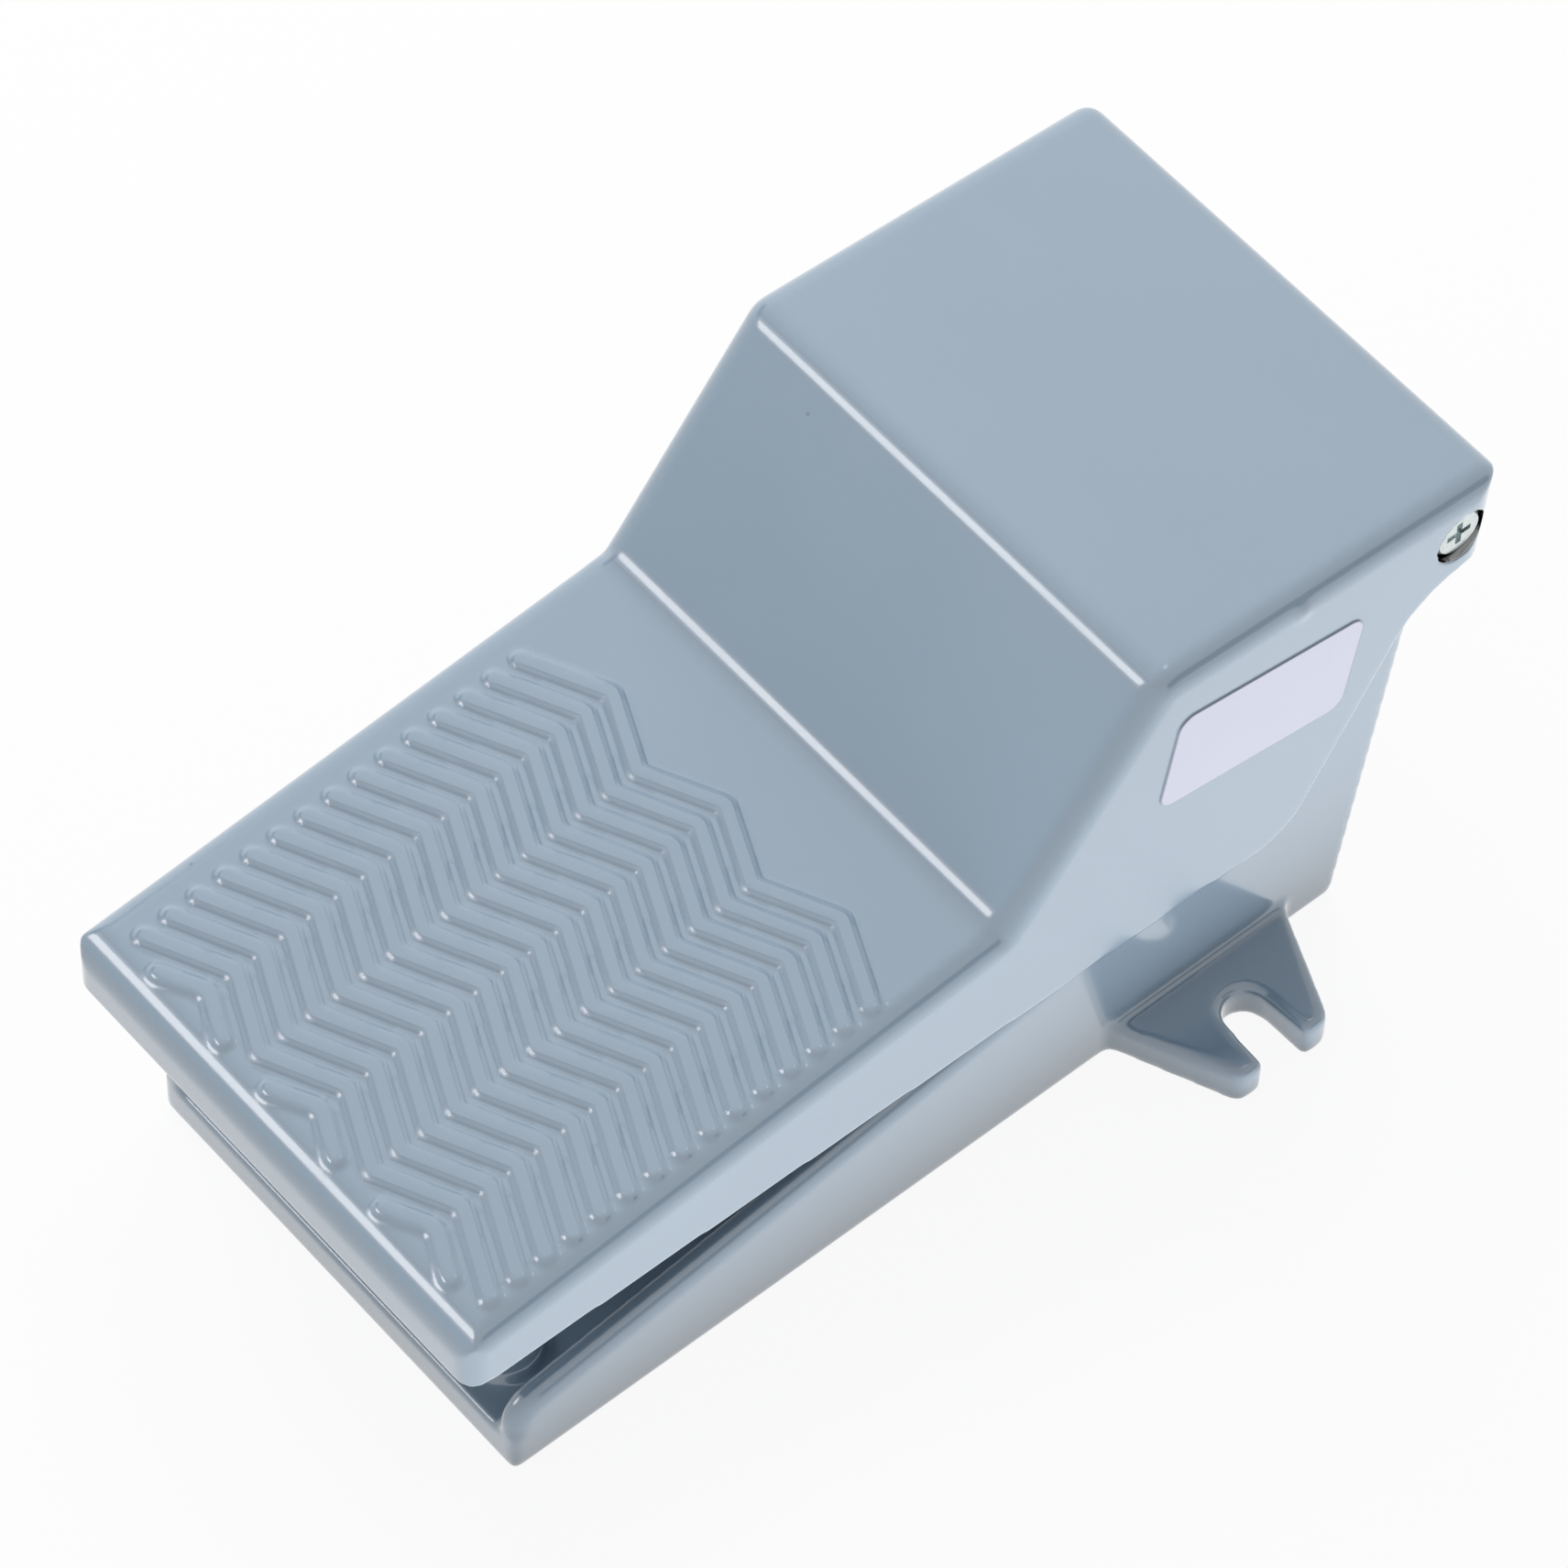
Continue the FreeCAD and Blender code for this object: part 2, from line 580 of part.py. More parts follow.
# Treadle: one casting, open below and at the heel
def make_pedal():
    body = new_body("pedal")
    side = polygon_sketch(body, "pedal_side", "YZ", [
        (toe_y, toe_foot_z),
        (skirt_y, d.skirt_height),
        (arch_y, heel_skirt_z),
        (heel_foot_y, heel_skirt_z),
        (heel_y, heel_z),
        (ridge_y, pedal_height),
        (crease_y, crease_z),
        (toe_y, d.toe_height),
    ])
    body.Tip = pad(body, "pedal_block", side, pedal_half * 2, both_ways=True)

    def across_at(y_size, z_size):
        return lambda edge: runs_along(edge, ALONG_X) and near_line(edge, y_size, z_size)

    round_edges(body, "crease_round", d.crease_radius, across_at(crease_y, crease_z))
    round_edges(body, "skirt_round", d.skirt_corner_radius, across_at(skirt_y, d.skirt_height))
    round_edges(body, "arch_round", d.skirt_arch_radius, across_at(arch_y, heel_skirt_z))
    round_edges(body, "ridge_round", d.ridge_radius, across_at(ridge_y, pedal_height))

    # The rim parts the faces that look up from those that don't
    def looks_up(face, point):
        return face.normalAt(*face.Surface.parameter(point)).z > LOOKS_UP

    def on_rim(edge):
        point = edge.valueAt((edge.FirstParameter + edge.LastParameter) / 2)
        faces = body.Tip.Shape.ancestorsOfType(edge, Part.Face)
        return len({looks_up(face, point) for face in faces}) == 2

    round_edges(body, "rim_round", d.rim_radius, on_rim)

    def upright_corner(y_low, y_high):
        def wanted(edge):
            middle = edge.CenterOfMass
            on_side = abs(abs(middle.x) - pedal_half.number) < NEAR
            across = abs(edge.Vertexes[0].Z - edge.Vertexes[-1].Z) > edge.BoundBox.YLength
            return on_side and across and y_low - NEAR < middle.y < y_high + NEAR
        return wanted

    round_edges(body, "toe_corners", d.toe_corner_radius,
                upright_corner(toe_y.number, toe_y.number))
    round_edges(body, "heel_corners", d.heel_corner_radius,
                upright_corner(heel_foot_y.number, heel_y.number))

    # Hollow below the tread, riser and hood
    inner_crease_shift = (riser_wall - tread_wall) / (riser_rise - tangent(d.tread_slope))
    inner_crease_y = crease_y + inner_crease_shift
    inner_ridge_shift = (riser_wall - hood_wall) / (riser_rise + hood_fall)
    inner_ridge_y = ridge_y + inner_ridge_shift
    inner_toe_y = toe_y + d.shell_wall
    inner_heel_y = heel_y - d.shell_wall - d.heel_lean / 2
    below_z = d.skirt_height - d.overcut
    hollow = polygon_sketch(body, "hollow_side", "YZ", [
        (inner_toe_y, below_z),
        (inner_heel_y, below_z),
        (inner_heel_y, under_hood(inner_heel_y)),
        (inner_ridge_y, under_hood(inner_ridge_y)),
        (inner_crease_y, under_tread(inner_crease_y)),
        (inner_toe_y, under_tread(inner_toe_y)),
    ])
    body.Tip = pocket(body, "hollow", hollow, cavity_half * 2, both_ways=True)

    # Heel opening: the uprights pass beside the lip
    lip_half = d.heel_lip_width / 2
    lip_z = heel_z - d.heel_lip
    notch_z = under_hood(heel_y)
    window = polygon_sketch(body, "heel_window", "XZ", [
        (-cavity_half, below_z),
        (cavity_half, below_z),
        (cavity_half, notch_z),
        (lip_half, notch_z),
        (lip_half, lip_z),
        (-lip_half, lip_z),
        (-lip_half, notch_z),
        (-cavity_half, notch_z),
    ], offset=(0, 0, -(heel_y + d.overcut)))
    body.Tip = pocket(body, "heel_opening", window, d.shell_wall + d.heel_lean + d.overcut * 2)

    # Hinge bosses with their counterbores and bush holes
    outside_x = pedal_half + d.overcut
    boss = circle_sketch(body, "pivot_boss", "YZ", [((pivot_y, pivot_z), d.pivot_boss_radius * 2)],
                         offset=(0, 0, pivot_boss_x))
    boss_pad = pad(body, "pivot_boss_pad", boss, cavity_half - pivot_boss_x + d.overcut)
    mirror(body, "pivot_boss_pair", [boss_pad])
    counterbore = circle_sketch(
        body, "counterbore", "YZ",
        [((pivot_y, pivot_z), d.screw_head_diameter + d.counterbore_clearance * 2)],
        offset=(0, 0, outside_x))
    counterbore_cut = pocket(body, "counterbore_cut", counterbore, outside_x - head_clear_x)
    mirror(body, "counterbore_pair", [counterbore_cut])
    bush_hole = circle_sketch(
        body, "bush_hole", "YZ",
        [((pivot_y, pivot_z), d.bush_diameter + d.press_clearance * 2)],
        offset=(0, 0, outside_x))
    bush_cut = pocket(body, "bush_cut", bush_hole, outside_x + d.overcut - pivot_boss_x)
    mirror(body, "bush_cut_pair", [bush_cut])

    # Stop posts, spring seat and striker boss under the tread and hood
    stop_drop = (pivot_y - stop_y + d.stop_post_diameter / 2) * sine(d.pedal_travel)
    post_z = d.floor_thickness + d.stop_boss_height + stop_drop + d.running_fit
    posts = circle_sketch(body, "stop_posts", "XY", [
        ((d.stop_spread / 2, stop_y), d.stop_post_diameter),
        ((d.stop_spread / -2, stop_y), d.stop_post_diameter),
    ], offset=(0, 0, post_z))
    body.Tip = pad(body, "stop_post_pad", posts, under_tread(stop_y) + d.post_root - post_z)
    seat = circle_sketch(body, "spring_seat", "XY", [((0, spring_y), d.spring_seat_diameter)],
                         offset=(0, 0, spring_seat_z))
    body.Tip = pad(body, "spring_seat_pad", seat, d.spring_seat_drop + d.post_root)
    nub_z = spring_seat_z - d.spring_boss_height
    nub = circle_sketch(body, "spring_nub", "XY", [((0, spring_y), d.spring_nub_diameter)],
                        offset=(0, 0, nub_z))
    body.Tip = pad(body, "spring_nub_pad", nub, d.spring_boss_height + d.post_root)
    boss = circle_sketch(body, "striker_boss", "XY", [((0, spool_y), d.striker_boss_diameter)],
                         offset=(0, 0, striker_boss_z))
    body.Tip = pad(body, "striker_boss_pad", boss, under_hood(spool_y) + d.post_root - striker_boss_z)
    tapped = circle_sketch(body, "striker_hole", "XY",
                           [((0, spool_y), d.striker_diameter + d.running_fit * 2)],
                           offset=(0, 0, striker_boss_z))
    body.Tip = pocket(body, "striker_hole_cut", tapped, d.striker_reach)
    return body


# Zigzag tread ribs, drawn on the tread plane: u across, v up the tread from the toe edge
def add_ribs(body):
    frame = (0, toe_y + sine(d.tread_slope) * d.rib_root, d.toe_height - cosine(d.tread_slope) * d.rib_root)
    tilt = ((1, 0, 0), d.tread_slope)
    half_step = d.rib_peak_step / 2
    slope = d.rib_swing / half_step
    first_peak_u = d.rib_offset - d.rib_peak_step
    last_peak_v = d.rear_peak_run - (d.rib_count - 1) * d.rib_pitch
    start = (first_peak_u - d.rib_overrun, last_peak_v - d.rib_overrun * slope)
    runs = [(d.rib_overrun, 1)] + [(half_step, -1), (half_step, 1)] * 2 + [(d.rib_overrun, -1)]
    rib = new_sketch(body, "tread_rib", "XY", frame, tilt)
    draw_zigzag(rib, start, runs, slope, d.rib_width, d.rib_bend_radius)
    rib_pad = pad(body, "tread_rib_pad", rib, d.rib_height + d.rib_root)
    repeat(body, "tread_rib_rows", [rib_pad], (rib, ["V_Axis"]), d.rib_pitch, d.rib_count)

    # The row nearest the toe shows only its three peaks
    carets = new_sketch(body, "tread_carets", "XY", frame, tilt)
    caret_v = last_peak_v - d.rib_pitch
    for index in range(3):
        peak_u = first_peak_u + d.rib_peak_step * index
        caret_start = (peak_u - d.caret_reach, caret_v - d.caret_reach * slope)
        caret_runs = [(d.caret_reach, 1), (d.caret_reach, -1)]
        draw_zigzag(carets, caret_start, caret_runs, slope, d.rib_width, d.rib_bend_radius)
    body.Tip = pad(body, "tread_caret_pad", carets, d.rib_height + d.rib_root)

    lean = math.radians(d.tread_slope.number)
    across = Vector(0, -math.sin(lean), math.cos(lean))
    toe = Vector(0, toe_y.number, d.toe_height.number)

    def on_rib_top(edge):
        heights = [(vertex.Point - toe).dot(across) for vertex in edge.Vertexes]
        in_tread = edge.BoundBox.YMax < crease_y.number
        return in_tread and all(abs(height - d.rib_height.number) < NEAR for height in heights)

    round_edges(body, "rib_edges", d.rib_chamfer, on_rib_top, "Chamfer")


# Base: floor with ears, side walls that rise to the hinge, and the valve bulkhead
def make_base():
    body = new_body("base")
    floor = polygon_sketch(body, "floor_plan", "XY", [
        (-base_half, base_front_y),
        (base_half, base_front_y),
        (base_half, base_rear_y),
        (-base_half, base_rear_y),
    ])
    body.Tip = pad(body, "floor", floor, d.floor_thickness)

    ear_y = base_rear_y - d.ear_centre_back
    tip_x = base_half + d.ear_reach
    half_root = d.ear_root / 2
    half_tip = d.ear_tip / 2
    ears = polygon_sketch(body, "ear_plan", "XY", [
        (base_half, ear_y - half_root),
        (tip_x, ear_y - half_tip),
        (tip_x, ear_y + half_tip),
        (base_half, ear_y + half_root),
        (-base_half, ear_y + half_root),
        (-tip_x, ear_y + half_tip),
        (-tip_x, ear_y - half_tip),
        (-base_half, ear_y - half_root),
    ])
    body.Tip = pad(body, "ears", ears, d.ear_thickness)

    def ear_corner(edge):
        return runs_along(edge, ALONG_Z) and abs(edge.CenterOfMass.x) > tip_x.number - NEAR

    round_edges(body, "ear_corners", d.ear_corner_radius, ear_corner)
    slot_x = d.slot_spacing / 2
    ends = circle_sketch(body, "slot_ends", "XY", [
        ((slot_x, ear_y), d.slot_width),
        ((-slot_x, ear_y), d.slot_width),
    ])
    body.Tip = pocket(body, "slot_end_cut", ends, d.ear_thickness)
    mouths = new_sketch(body, "slot_mouths", "XY")
    half_slot = d.slot_width / 2
    half_mouth = half_slot + d.slot_flare
    for side in (1, -1):
        draw_polygon(mouths, [
            (slot_x * side, ear_y - half_slot),
            (tip_x * side, ear_y - half_mouth),
            (tip_x * side, ear_y + half_mouth),
            (slot_x * side, ear_y + half_slot),
        ])
    body.Tip = pocket(body, "slot_mouth_cut", mouths, d.ear_thickness)

    # Side wall, lug and hinge hole on one side, then their mirror image
    knee_y = base_front_y + d.base_knee_run
    knee_z = d.base_nose_height + d.base_knee_run * tangent(d.base_wall_slope)
    hip_z = heel_skirt_z - d.base_hip_drop
    hip_y = base_rear_y + hip_z * tangent(d.base_rear_lean)
    wall = polygon_sketch(body, "wall_side", "YZ", [
        (base_front_y, 0),
        (base_rear_y, 0),
        (hip_y, hip_z),
        (pivot_y + d.lug_radius - d.lug_shoulder, pivot_z),
        (pivot_y - d.lug_radius + d.lug_shoulder, pivot_z),
        (knee_y, knee_z),
        (base_front_y, d.base_nose_height),
    ], offset=(0, 0, base_inner_half))
    wall_pad = pad(body, "wall", wall, d.base_wall)
    body.Tip = wall_pad
    hinge = (pivot_y, pivot_z)
    relief_width = d.pivot_boss_radius * 2 + d.lug_relief * 2
    relief = circle_sketch(body, "lug_relief", "YZ", [(hinge, relief_width)],
                           offset=(0, 0, base_half + d.overcut))
    relief_cut = pocket(body, "lug_relief_cut", relief, d.lug_inset + d.overcut)
    body.Tip = relief_cut
    lug = circle_sketch(body, "lug", "YZ", [(hinge, d.lug_radius * 2)],
                        offset=(0, 0, lug_face_x - d.lug_depth))
    lug_pad = pad(body, "lug_pad", lug, d.lug_depth)
    body.Tip = lug_pad
    hole = circle_sketch(body, "hinge_hole", "YZ",
                         [(hinge, d.screw_thread_diameter + d.running_fit * 2)],
                         offset=(0, 0, base_half + d.overcut))
    hole_cut = pocket(body, "hinge_hole_cut", hole, d.lug_inset + d.lug_depth + d.overcut * 2)
    mirror(body, "second_side", [wall_pad, relief_cut, lug_pad, hole_cut])

    # Rounded noses and knees of the walls, then their softened rims
    def nose_edge(edge):
        return runs_along(edge, ALONG_X) and near_line(edge, base_front_y, d.base_nose_height)

    def knee_edge(edge):
        return runs_along(edge, ALONG_X) and near_line(edge, knee_y, knee_z)

    def wall_rim(edge):
        middle = edge.CenterOfMass
        outer = abs(abs(middle.x) - base_half.number) < NEAR
        inner = abs(abs(middle.x) - base_inner_half.number) < NEAR
        upper = edge.BoundBox.ZMin > d.floor_thickness.number + NEAR
        front = runs_along(edge, ALONG_Z) and abs(middle.y - base_front_y.number) < NEAR
        before_knee = middle.y < knee_y.number
        return before_knee and ((outer or inner) and upper or outer and front)

    round_edges(body, "wall_noses", d.base_nose_radius, nose_edge)
    round_edges(body, "wall_knees", d.base_knee_radius, knee_edge)
    round_edges(body, "wall_rims", d.base_rim_radius, wall_rim)

    # Bulkhead across the base, stop bosses and spring boss on the floor
    rooted_x = base_inner_half + d.overcut
    rooted_z = d.floor_thickness - d.overcut
    bulkhead_top_z = body_middle_z + d.bulkhead_rise
    shoulder_x = base_inner_half - d.bulkhead_shoulder
    bulkhead = polygon_sketch(body, "bulkhead", "XZ", [
        (-rooted_x, rooted_z),
        (rooted_x, rooted_z),
        (rooted_x, bulkhead_top_z - d.bulkhead_shoulder),
        (shoulder_x, bulkhead_top_z),
        (-shoulder_x, bulkhead_top_z),
        (-rooted_x, bulkhead_top_z - d.bulkhead_shoulder),
    ], offset=(0, 0, -bulkhead_y))
    body.Tip = pad(body, "bulkhead_pad", bulkhead, d.bulkhead_thickness)
    screw_x = d.valve_screw_spread / 2
    screw_z = d.valve_screw_rise / 2
    holes = circle_sketch(body, "valve_screw_holes", "XZ", [
        ((screw_x, body_middle_z + screw_z), d.valve_screw_diameter + d.running_fit * 2),
        ((-screw_x, body_middle_z - screw_z), d.valve_screw_diameter + d.running_fit * 2),
    ], offset=(0, 0, -bulkhead_y))
    body.Tip = pocket(body, "valve_screw_hole_cut", holes, d.bulkhead_thickness)
    stops = circle_sketch(body, "stop_bosses", "XY", [
        ((d.stop_spread / 2, stop_y), d.stop_boss_diameter),
        ((d.stop_spread / -2, stop_y), d.stop_boss_diameter),
    ], offset=(0, 0, rooted_z))
    body.Tip = pad(body, "stop_boss_pad", stops, d.stop_boss_height + d.overcut)
    spring_boss = circle_sketch(body, "spring_boss", "XY", [((0, spring_y), d.spring_boss_diameter)],
                                offset=(0, 0, rooted_z))
    body.Tip = pad(body, "spring_boss_pad", spring_boss, d.spring_boss_height + d.overcut)

    # Hollows in the underside, in rows between ribs
    cell_width = (base_inner_half * 2 - (d.cell_columns - 1) * d.cell_rib) / d.cell_columns
    cells_run = base_rear_y - base_front_y - d.base_wall * 2
    cell_length = (cells_run - (d.cell_rows - 1) * d.cell_rib) / d.cell_rows
    cell_y = base_front_y + d.base_wall
    cell = polygon_sketch(body, "cell", "XY", [
        (-base_inner_half, cell_y),
        (cell_width - base_inner_half, cell_y),
        (cell_width - base_inner_half, cell_y + cell_length),
        (-base_inner_half, cell_y + cell_length),
    ])
    cell_cut = pocket(body, "cell_cut", cell, d.cell_depth)
    cells = repeat(body, "cells", [cell_cut], (cell, ["H_Axis"]), cell_width + d.cell_rib, d.cell_columns)
    cells.Direction2 = (cell, ["V_Axis"])
    cells.Mode2 = "Spacing"
    bind(cells, "Offset2", cell_length + d.cell_rib)
    bind(cells, "Occurrences2", d.cell_rows)
    return body


# Hinge screws, bushes and washers, turned about the hinge axis
def hinge_ring(body, name, start_x, end_x, inner, outer):
    ring = polygon_sketch(body, name, "XY", [
        (start_x, inner),
        (end_x, inner),
        (end_x, outer),
        (start_x, outer),
    ])
    feature = revolve(body, "Revolution", name + "_turn", ring, "H_Axis")
    body.Tip = feature
    return feature


def make_hinge(side, word):
    hinge = (0, pivot_y, pivot_z)
    screw = new_body("pivot_screw_" + word, hinge)
    top_x = pedal_half - d.screw_recess
    head_radius = d.screw_head_diameter / 2
    profile = polygon_sketch(screw, "screw_profile_" + word, "XY", [(x * side, radius) for x, radius in [
        (lug_face_x - d.screw_thread_length, 0),
        (lug_face_x - d.screw_thread_length, d.screw_thread_diameter / 2 - d.screw_point),
        (lug_face_x - d.screw_thread_length + d.screw_point, d.screw_thread_diameter / 2),
        (lug_face_x, d.screw_thread_diameter / 2),
        (lug_face_x, d.screw_shoulder_diameter / 2),
        (head_seat_x, d.screw_shoulder_diameter / 2),
        (head_seat_x, head_radius),
        (top_x - d.screw_head_crown, head_radius),
        (top_x, head_radius - d.screw_head_crown),
        (top_x, 0),
    ]])
    screw.Tip = revolve(screw, "Revolution", "screw_turn_" + word, profile, "H_Axis")
    arm = d.cross_length / 2
    bar = d.cross_width / 2
    cross = polygon_sketch(screw, "screw_cross_" + word, "YZ", [
        (-arm, -bar), (-bar, -bar), (-bar, -arm), (bar, -arm), (bar, -bar), (arm, -bar),
        (arm, bar), (bar, bar), (bar, arm), (-bar, arm), (-bar, bar), (-arm, bar),
    ], offset=(0, 0, top_x * side))
    screw.Tip = pocket(screw, "screw_cross_cut_" + word, cross, d.cross_depth)
    bush = new_body("pivot_bush_" + word, hinge)
    hinge_ring(bush, "bush_profile_" + word, pivot_boss_x * side, head_clear_x * side,
               d.screw_shoulder_diameter / 2 + d.running_fit, d.bush_diameter / 2)


def make_washers():
    body = new_body("pivot_washers", (0, pivot_y, pivot_z))
    ring = hinge_ring(body, "washer_profile", lug_face_x, lug_face_x + d.washer_thickness,
                      d.screw_shoulder_diameter / 2 + d.running_fit, d.washer_diameter / 2)
    mirror(body, "washer_pair", [ring])


# Valve body and covers, drawn from the bulkhead face back and from the middle out
def plate_points(depth):
    half = d.valve_width / 2
    return [(-half, 0), (half, 0), (half, depth), (-half, depth)]


def screw_spots(diameter):
    spread = d.cover_screw_spread / 2
    return [((spread, d.valve_axis_depth), diameter), ((-spread, d.valve_axis_depth), diameter)]


def make_valve_body():
    body = new_body("valve_body", (0, bulkhead_y, body_z))
    block = polygon_sketch(body, "block", "XY", plate_points(d.valve_depth))
    body.Tip = pad(body, "block_pad", block, d.valve_height)
    round_edges(body, "block_edges", d.valve_edge, lambda edge: runs_along(edge, ALONG_Z), "Chamfer")
    bore = circle_sketch(body, "bore", "XY", [((0, d.valve_axis_depth), d.bore_diameter)])
    body.Tip = pocket(body, "bore_cut", bore, d.valve_height)
    middle = d.valve_height / 2
    rear = (0, 0, -d.valve_depth)
    passages = []
    for name, side, shifts, depth in (
            ("supply", -1, [0], d.supply_depth),
            ("work", 1, [-port_pitch / 2, port_pitch / 2], d.work_depth),
            ("exhaust", -1, [-port_pitch, port_pitch], d.exhaust_depth)):
        ports = [((d.port_column * side, middle + shift), d.port_diameter) for shift in shifts]
        port_sketch = circle_sketch(body, name + "_ports", "XZ", ports, offset=rear)
        body.Tip = pocket(body, name + "_port_cut", port_sketch, depth)
        passages += [((d.passage_column * side, middle + shift), d.passage_diameter)
                     for shift in shifts]
    passage_sketch = circle_sketch(body, "passages", "XZ", passages, offset=rear)
    body.Tip = pocket(body, "passage_cut", passage_sketch,
                      d.valve_depth - d.valve_axis_depth - d.passage_stop)
    screw_x = d.valve_screw_spread / 2
    screw_z = d.valve_screw_rise / 2
    wide = d.valve_screw_diameter + d.screw_clearance
    through = circle_sketch(body, "fixing_holes", "XZ", [
        ((screw_x, middle + screw_z), wide),
        ((-screw_x, middle - screw_z), wide),
    ], offset=rear)
    body.Tip = pocket(body, "fixing_hole_cut", through, d.valve_depth)
    tapped = d.cover_screw_diameter + d.running_fit * 2
    depth = d.cover_screw_reach + d.running_fit
    low = circle_sketch(body, "lower_taps", "XY", screw_spots(tapped))
    body.Tip = pocket(body, "lower_tap_cut", low, depth)
    high = circle_sketch(body, "upper_taps", "XY", screw_spots(tapped), offset=(0, 0, d.valve_height))
    body.Tip = pocket(body, "upper_tap_cut", high, depth)


def make_cover(label, foot_z, head_up):
    body = new_body(label, (0, bulkhead_y, foot_z))
    plate = polygon_sketch(body, label + "_plate", "XY", plate_points(d.valve_depth))
    body.Tip = pad(body, label + "_pad", plate, d.cover_height)
    round_edges(body, label + "_edges", d.valve_edge, lambda edge: runs_along(edge, ALONG_Z), "Chamfer")
    clear = circle_sketch(body, label + "_holes", "XY",
                          screw_spots(d.cover_screw_diameter + d.screw_clearance))
    body.Tip = pocket(body, label + "_hole_cut", clear, d.cover_height)
    head_z = d.cover_height if head_up else 0
    sunk = circle_sketch(body, label + "_sinks", "XY",
                         screw_spots(d.cover_head_diameter + d.screw_clearance),
                         offset=(0, 0, head_z))
    body.Tip = pocket(body, label + "_sink_cut", sunk, d.cover_head_height + d.screw_clearance)
    return body


def make_covers():
    axis = (0, d.valve_axis_depth)
    upper = make_cover("upper_cover", cover_z, True)
    guide = circle_sketch(upper, "plunger_hole", "XY", [(axis, d.plunger_diameter + d.running_fit * 2)])
    upper.Tip = pocket(upper, "plunger_hole_cut", guide, d.cover_height)
    seat = circle_sketch(upper, "wiper_seat", "XY", [(axis, d.wiper_diameter)],
                         offset=(0, 0, d.cover_height))
    upper.Tip = pocket(upper, "wiper_seat_cut", seat, d.wiper_height)
    lower = make_cover("lower_cover", valve_foot_z, False)
    well = circle_sketch(lower, "spring_well", "XY", [(axis, d.bore_diameter)],
                         offset=(0, 0, d.cover_height))
    lower.Tip = pocket(lower, "spring_well_cut", well, d.cover_height - d.cover_web)


def make_gasket(label, foot_z):
    body = new_body(label, (0, bulkhead_y, foot_z))
    sheet_plan = polygon_sketch(body, label + "_plan", "XY", plate_points(d.valve_depth))
    body.Tip = pad(body, label + "_pad", sheet_plan, d.gasket_height)
    openings = screw_spots(d.cover_screw_diameter + d.screw_clearance)
    openings.append(((0, d.valve_axis_depth), d.bore_diameter))
    cut = circle_sketch(body, label + "_openings", "XY", openings)
    body.Tip = pocket(body, label + "_cut", cut, d.gasket_height)


# A pair of cap screws: head height, then thread, along Z with the head up or down
def make_cover_screws(label, head_seat_z, direction):
    body = new_body(label, (d.cover_screw_spread / -2, spool_y, head_seat_z))
    radius = d.cover_screw_diameter / 2
    head = d.cover_head_diameter / 2
    length = d.cover_height - d.cover_head_height - d.screw_clearance + d.gasket_height
    tip = -(length + d.cover_screw_reach)
    profile = polygon_sketch(body, label + "_profile", "XZ", [(r, z * direction) for r, z in [
        (0, tip),
        (radius, tip),
        (radius, as_size(0)),
        (head, as_size(0)),
        (head, d.cover_head_height),
        (d.socket_diameter / 2, d.cover_head_height),
        (d.socket_diameter / 2, d.cover_head_height / 2),
        (0, d.cover_head_height / 2),
    ]])
    turn = revolve(body, "Revolution", label + "_turn", profile)
    repeat(body, label + "_pair", [turn], (profile, ["H_Axis"]), d.cover_screw_spread, 2)


# The screws through the valve into the bulkhead, head to the rear, with washers
def make_valve_screws():
    screw_x = d.valve_screw_spread / 2
    screw_z = d.valve_screw_rise / 2
    seat_y = valve_rear_y + d.valve_washer_thickness
    for label, place_y in (("valve_screws", seat_y), ("valve_washers", valve_rear_y)):
        body = new_body(label, (0, place_y, body_middle_z))
        for word, sign in (("right", 1), ("left", -1)):
            centre = (screw_x * sign, screw_z * sign)
            if label == "valve_screws":
                shank = circle_sketch(body, "shank_" + word, "XZ", [(centre, d.valve_screw_diameter)])
                reach = d.valve_depth + d.valve_washer_thickness + d.bulkhead_thickness
                body.Tip = pad(body, "shank_pad_" + word, shank, reach)
                head = circle_sketch(body, "head_" + word, "XZ", [(centre, d.valve_head_diameter)])
                body.Tip = pad(body, "head_pad_" + word, head, d.valve_head_height, backwards=True)
                socket = new_sketch(body, "socket_" + word, "XZ", (0, 0, -d.valve_head_height))
                draw_hexagon(socket, centre, d.valve_socket_width)
                body.Tip = pocket(body, "socket_cut_" + word, socket, d.valve_socket_depth)
            else:
                disc = new_sketch(body, "disc_" + word, "XZ")
                draw_circle(disc, centre, d.valve_washer_diameter)
                draw_circle(disc, centre, d.valve_screw_diameter + d.running_fit * 2)
                body.Tip = pad(body, "disc_pad_" + word, disc, d.valve_washer_thickness, backwards=True)


HEX_CORNER = 1 / math.sqrt(3)


def draw_hexagon(sketch, centre, width):
    corner = width * HEX_CORNER
    draw_polygon(sketch, [
        (centre[0] + corner * math.cos(math.radians(60 * turn)),
         centre[1] + corner * math.sin(math.radians(60 * turn)))
        for turn in range(6)
    ])


# Spool, seals, spring, plunger and button move together on the spool axis
land_pitch = port_pitch / 2
LAND_COUNT = 6


def land_centre(index):
    return d.valve_height / 2 + land_pitch * (index - (LAND_COUNT - 1) / 2)


spool_foot = land_centre(0) - d.land_width / 2
spool_head = land_centre(LAND_COUNT - 1) + d.land_width / 2


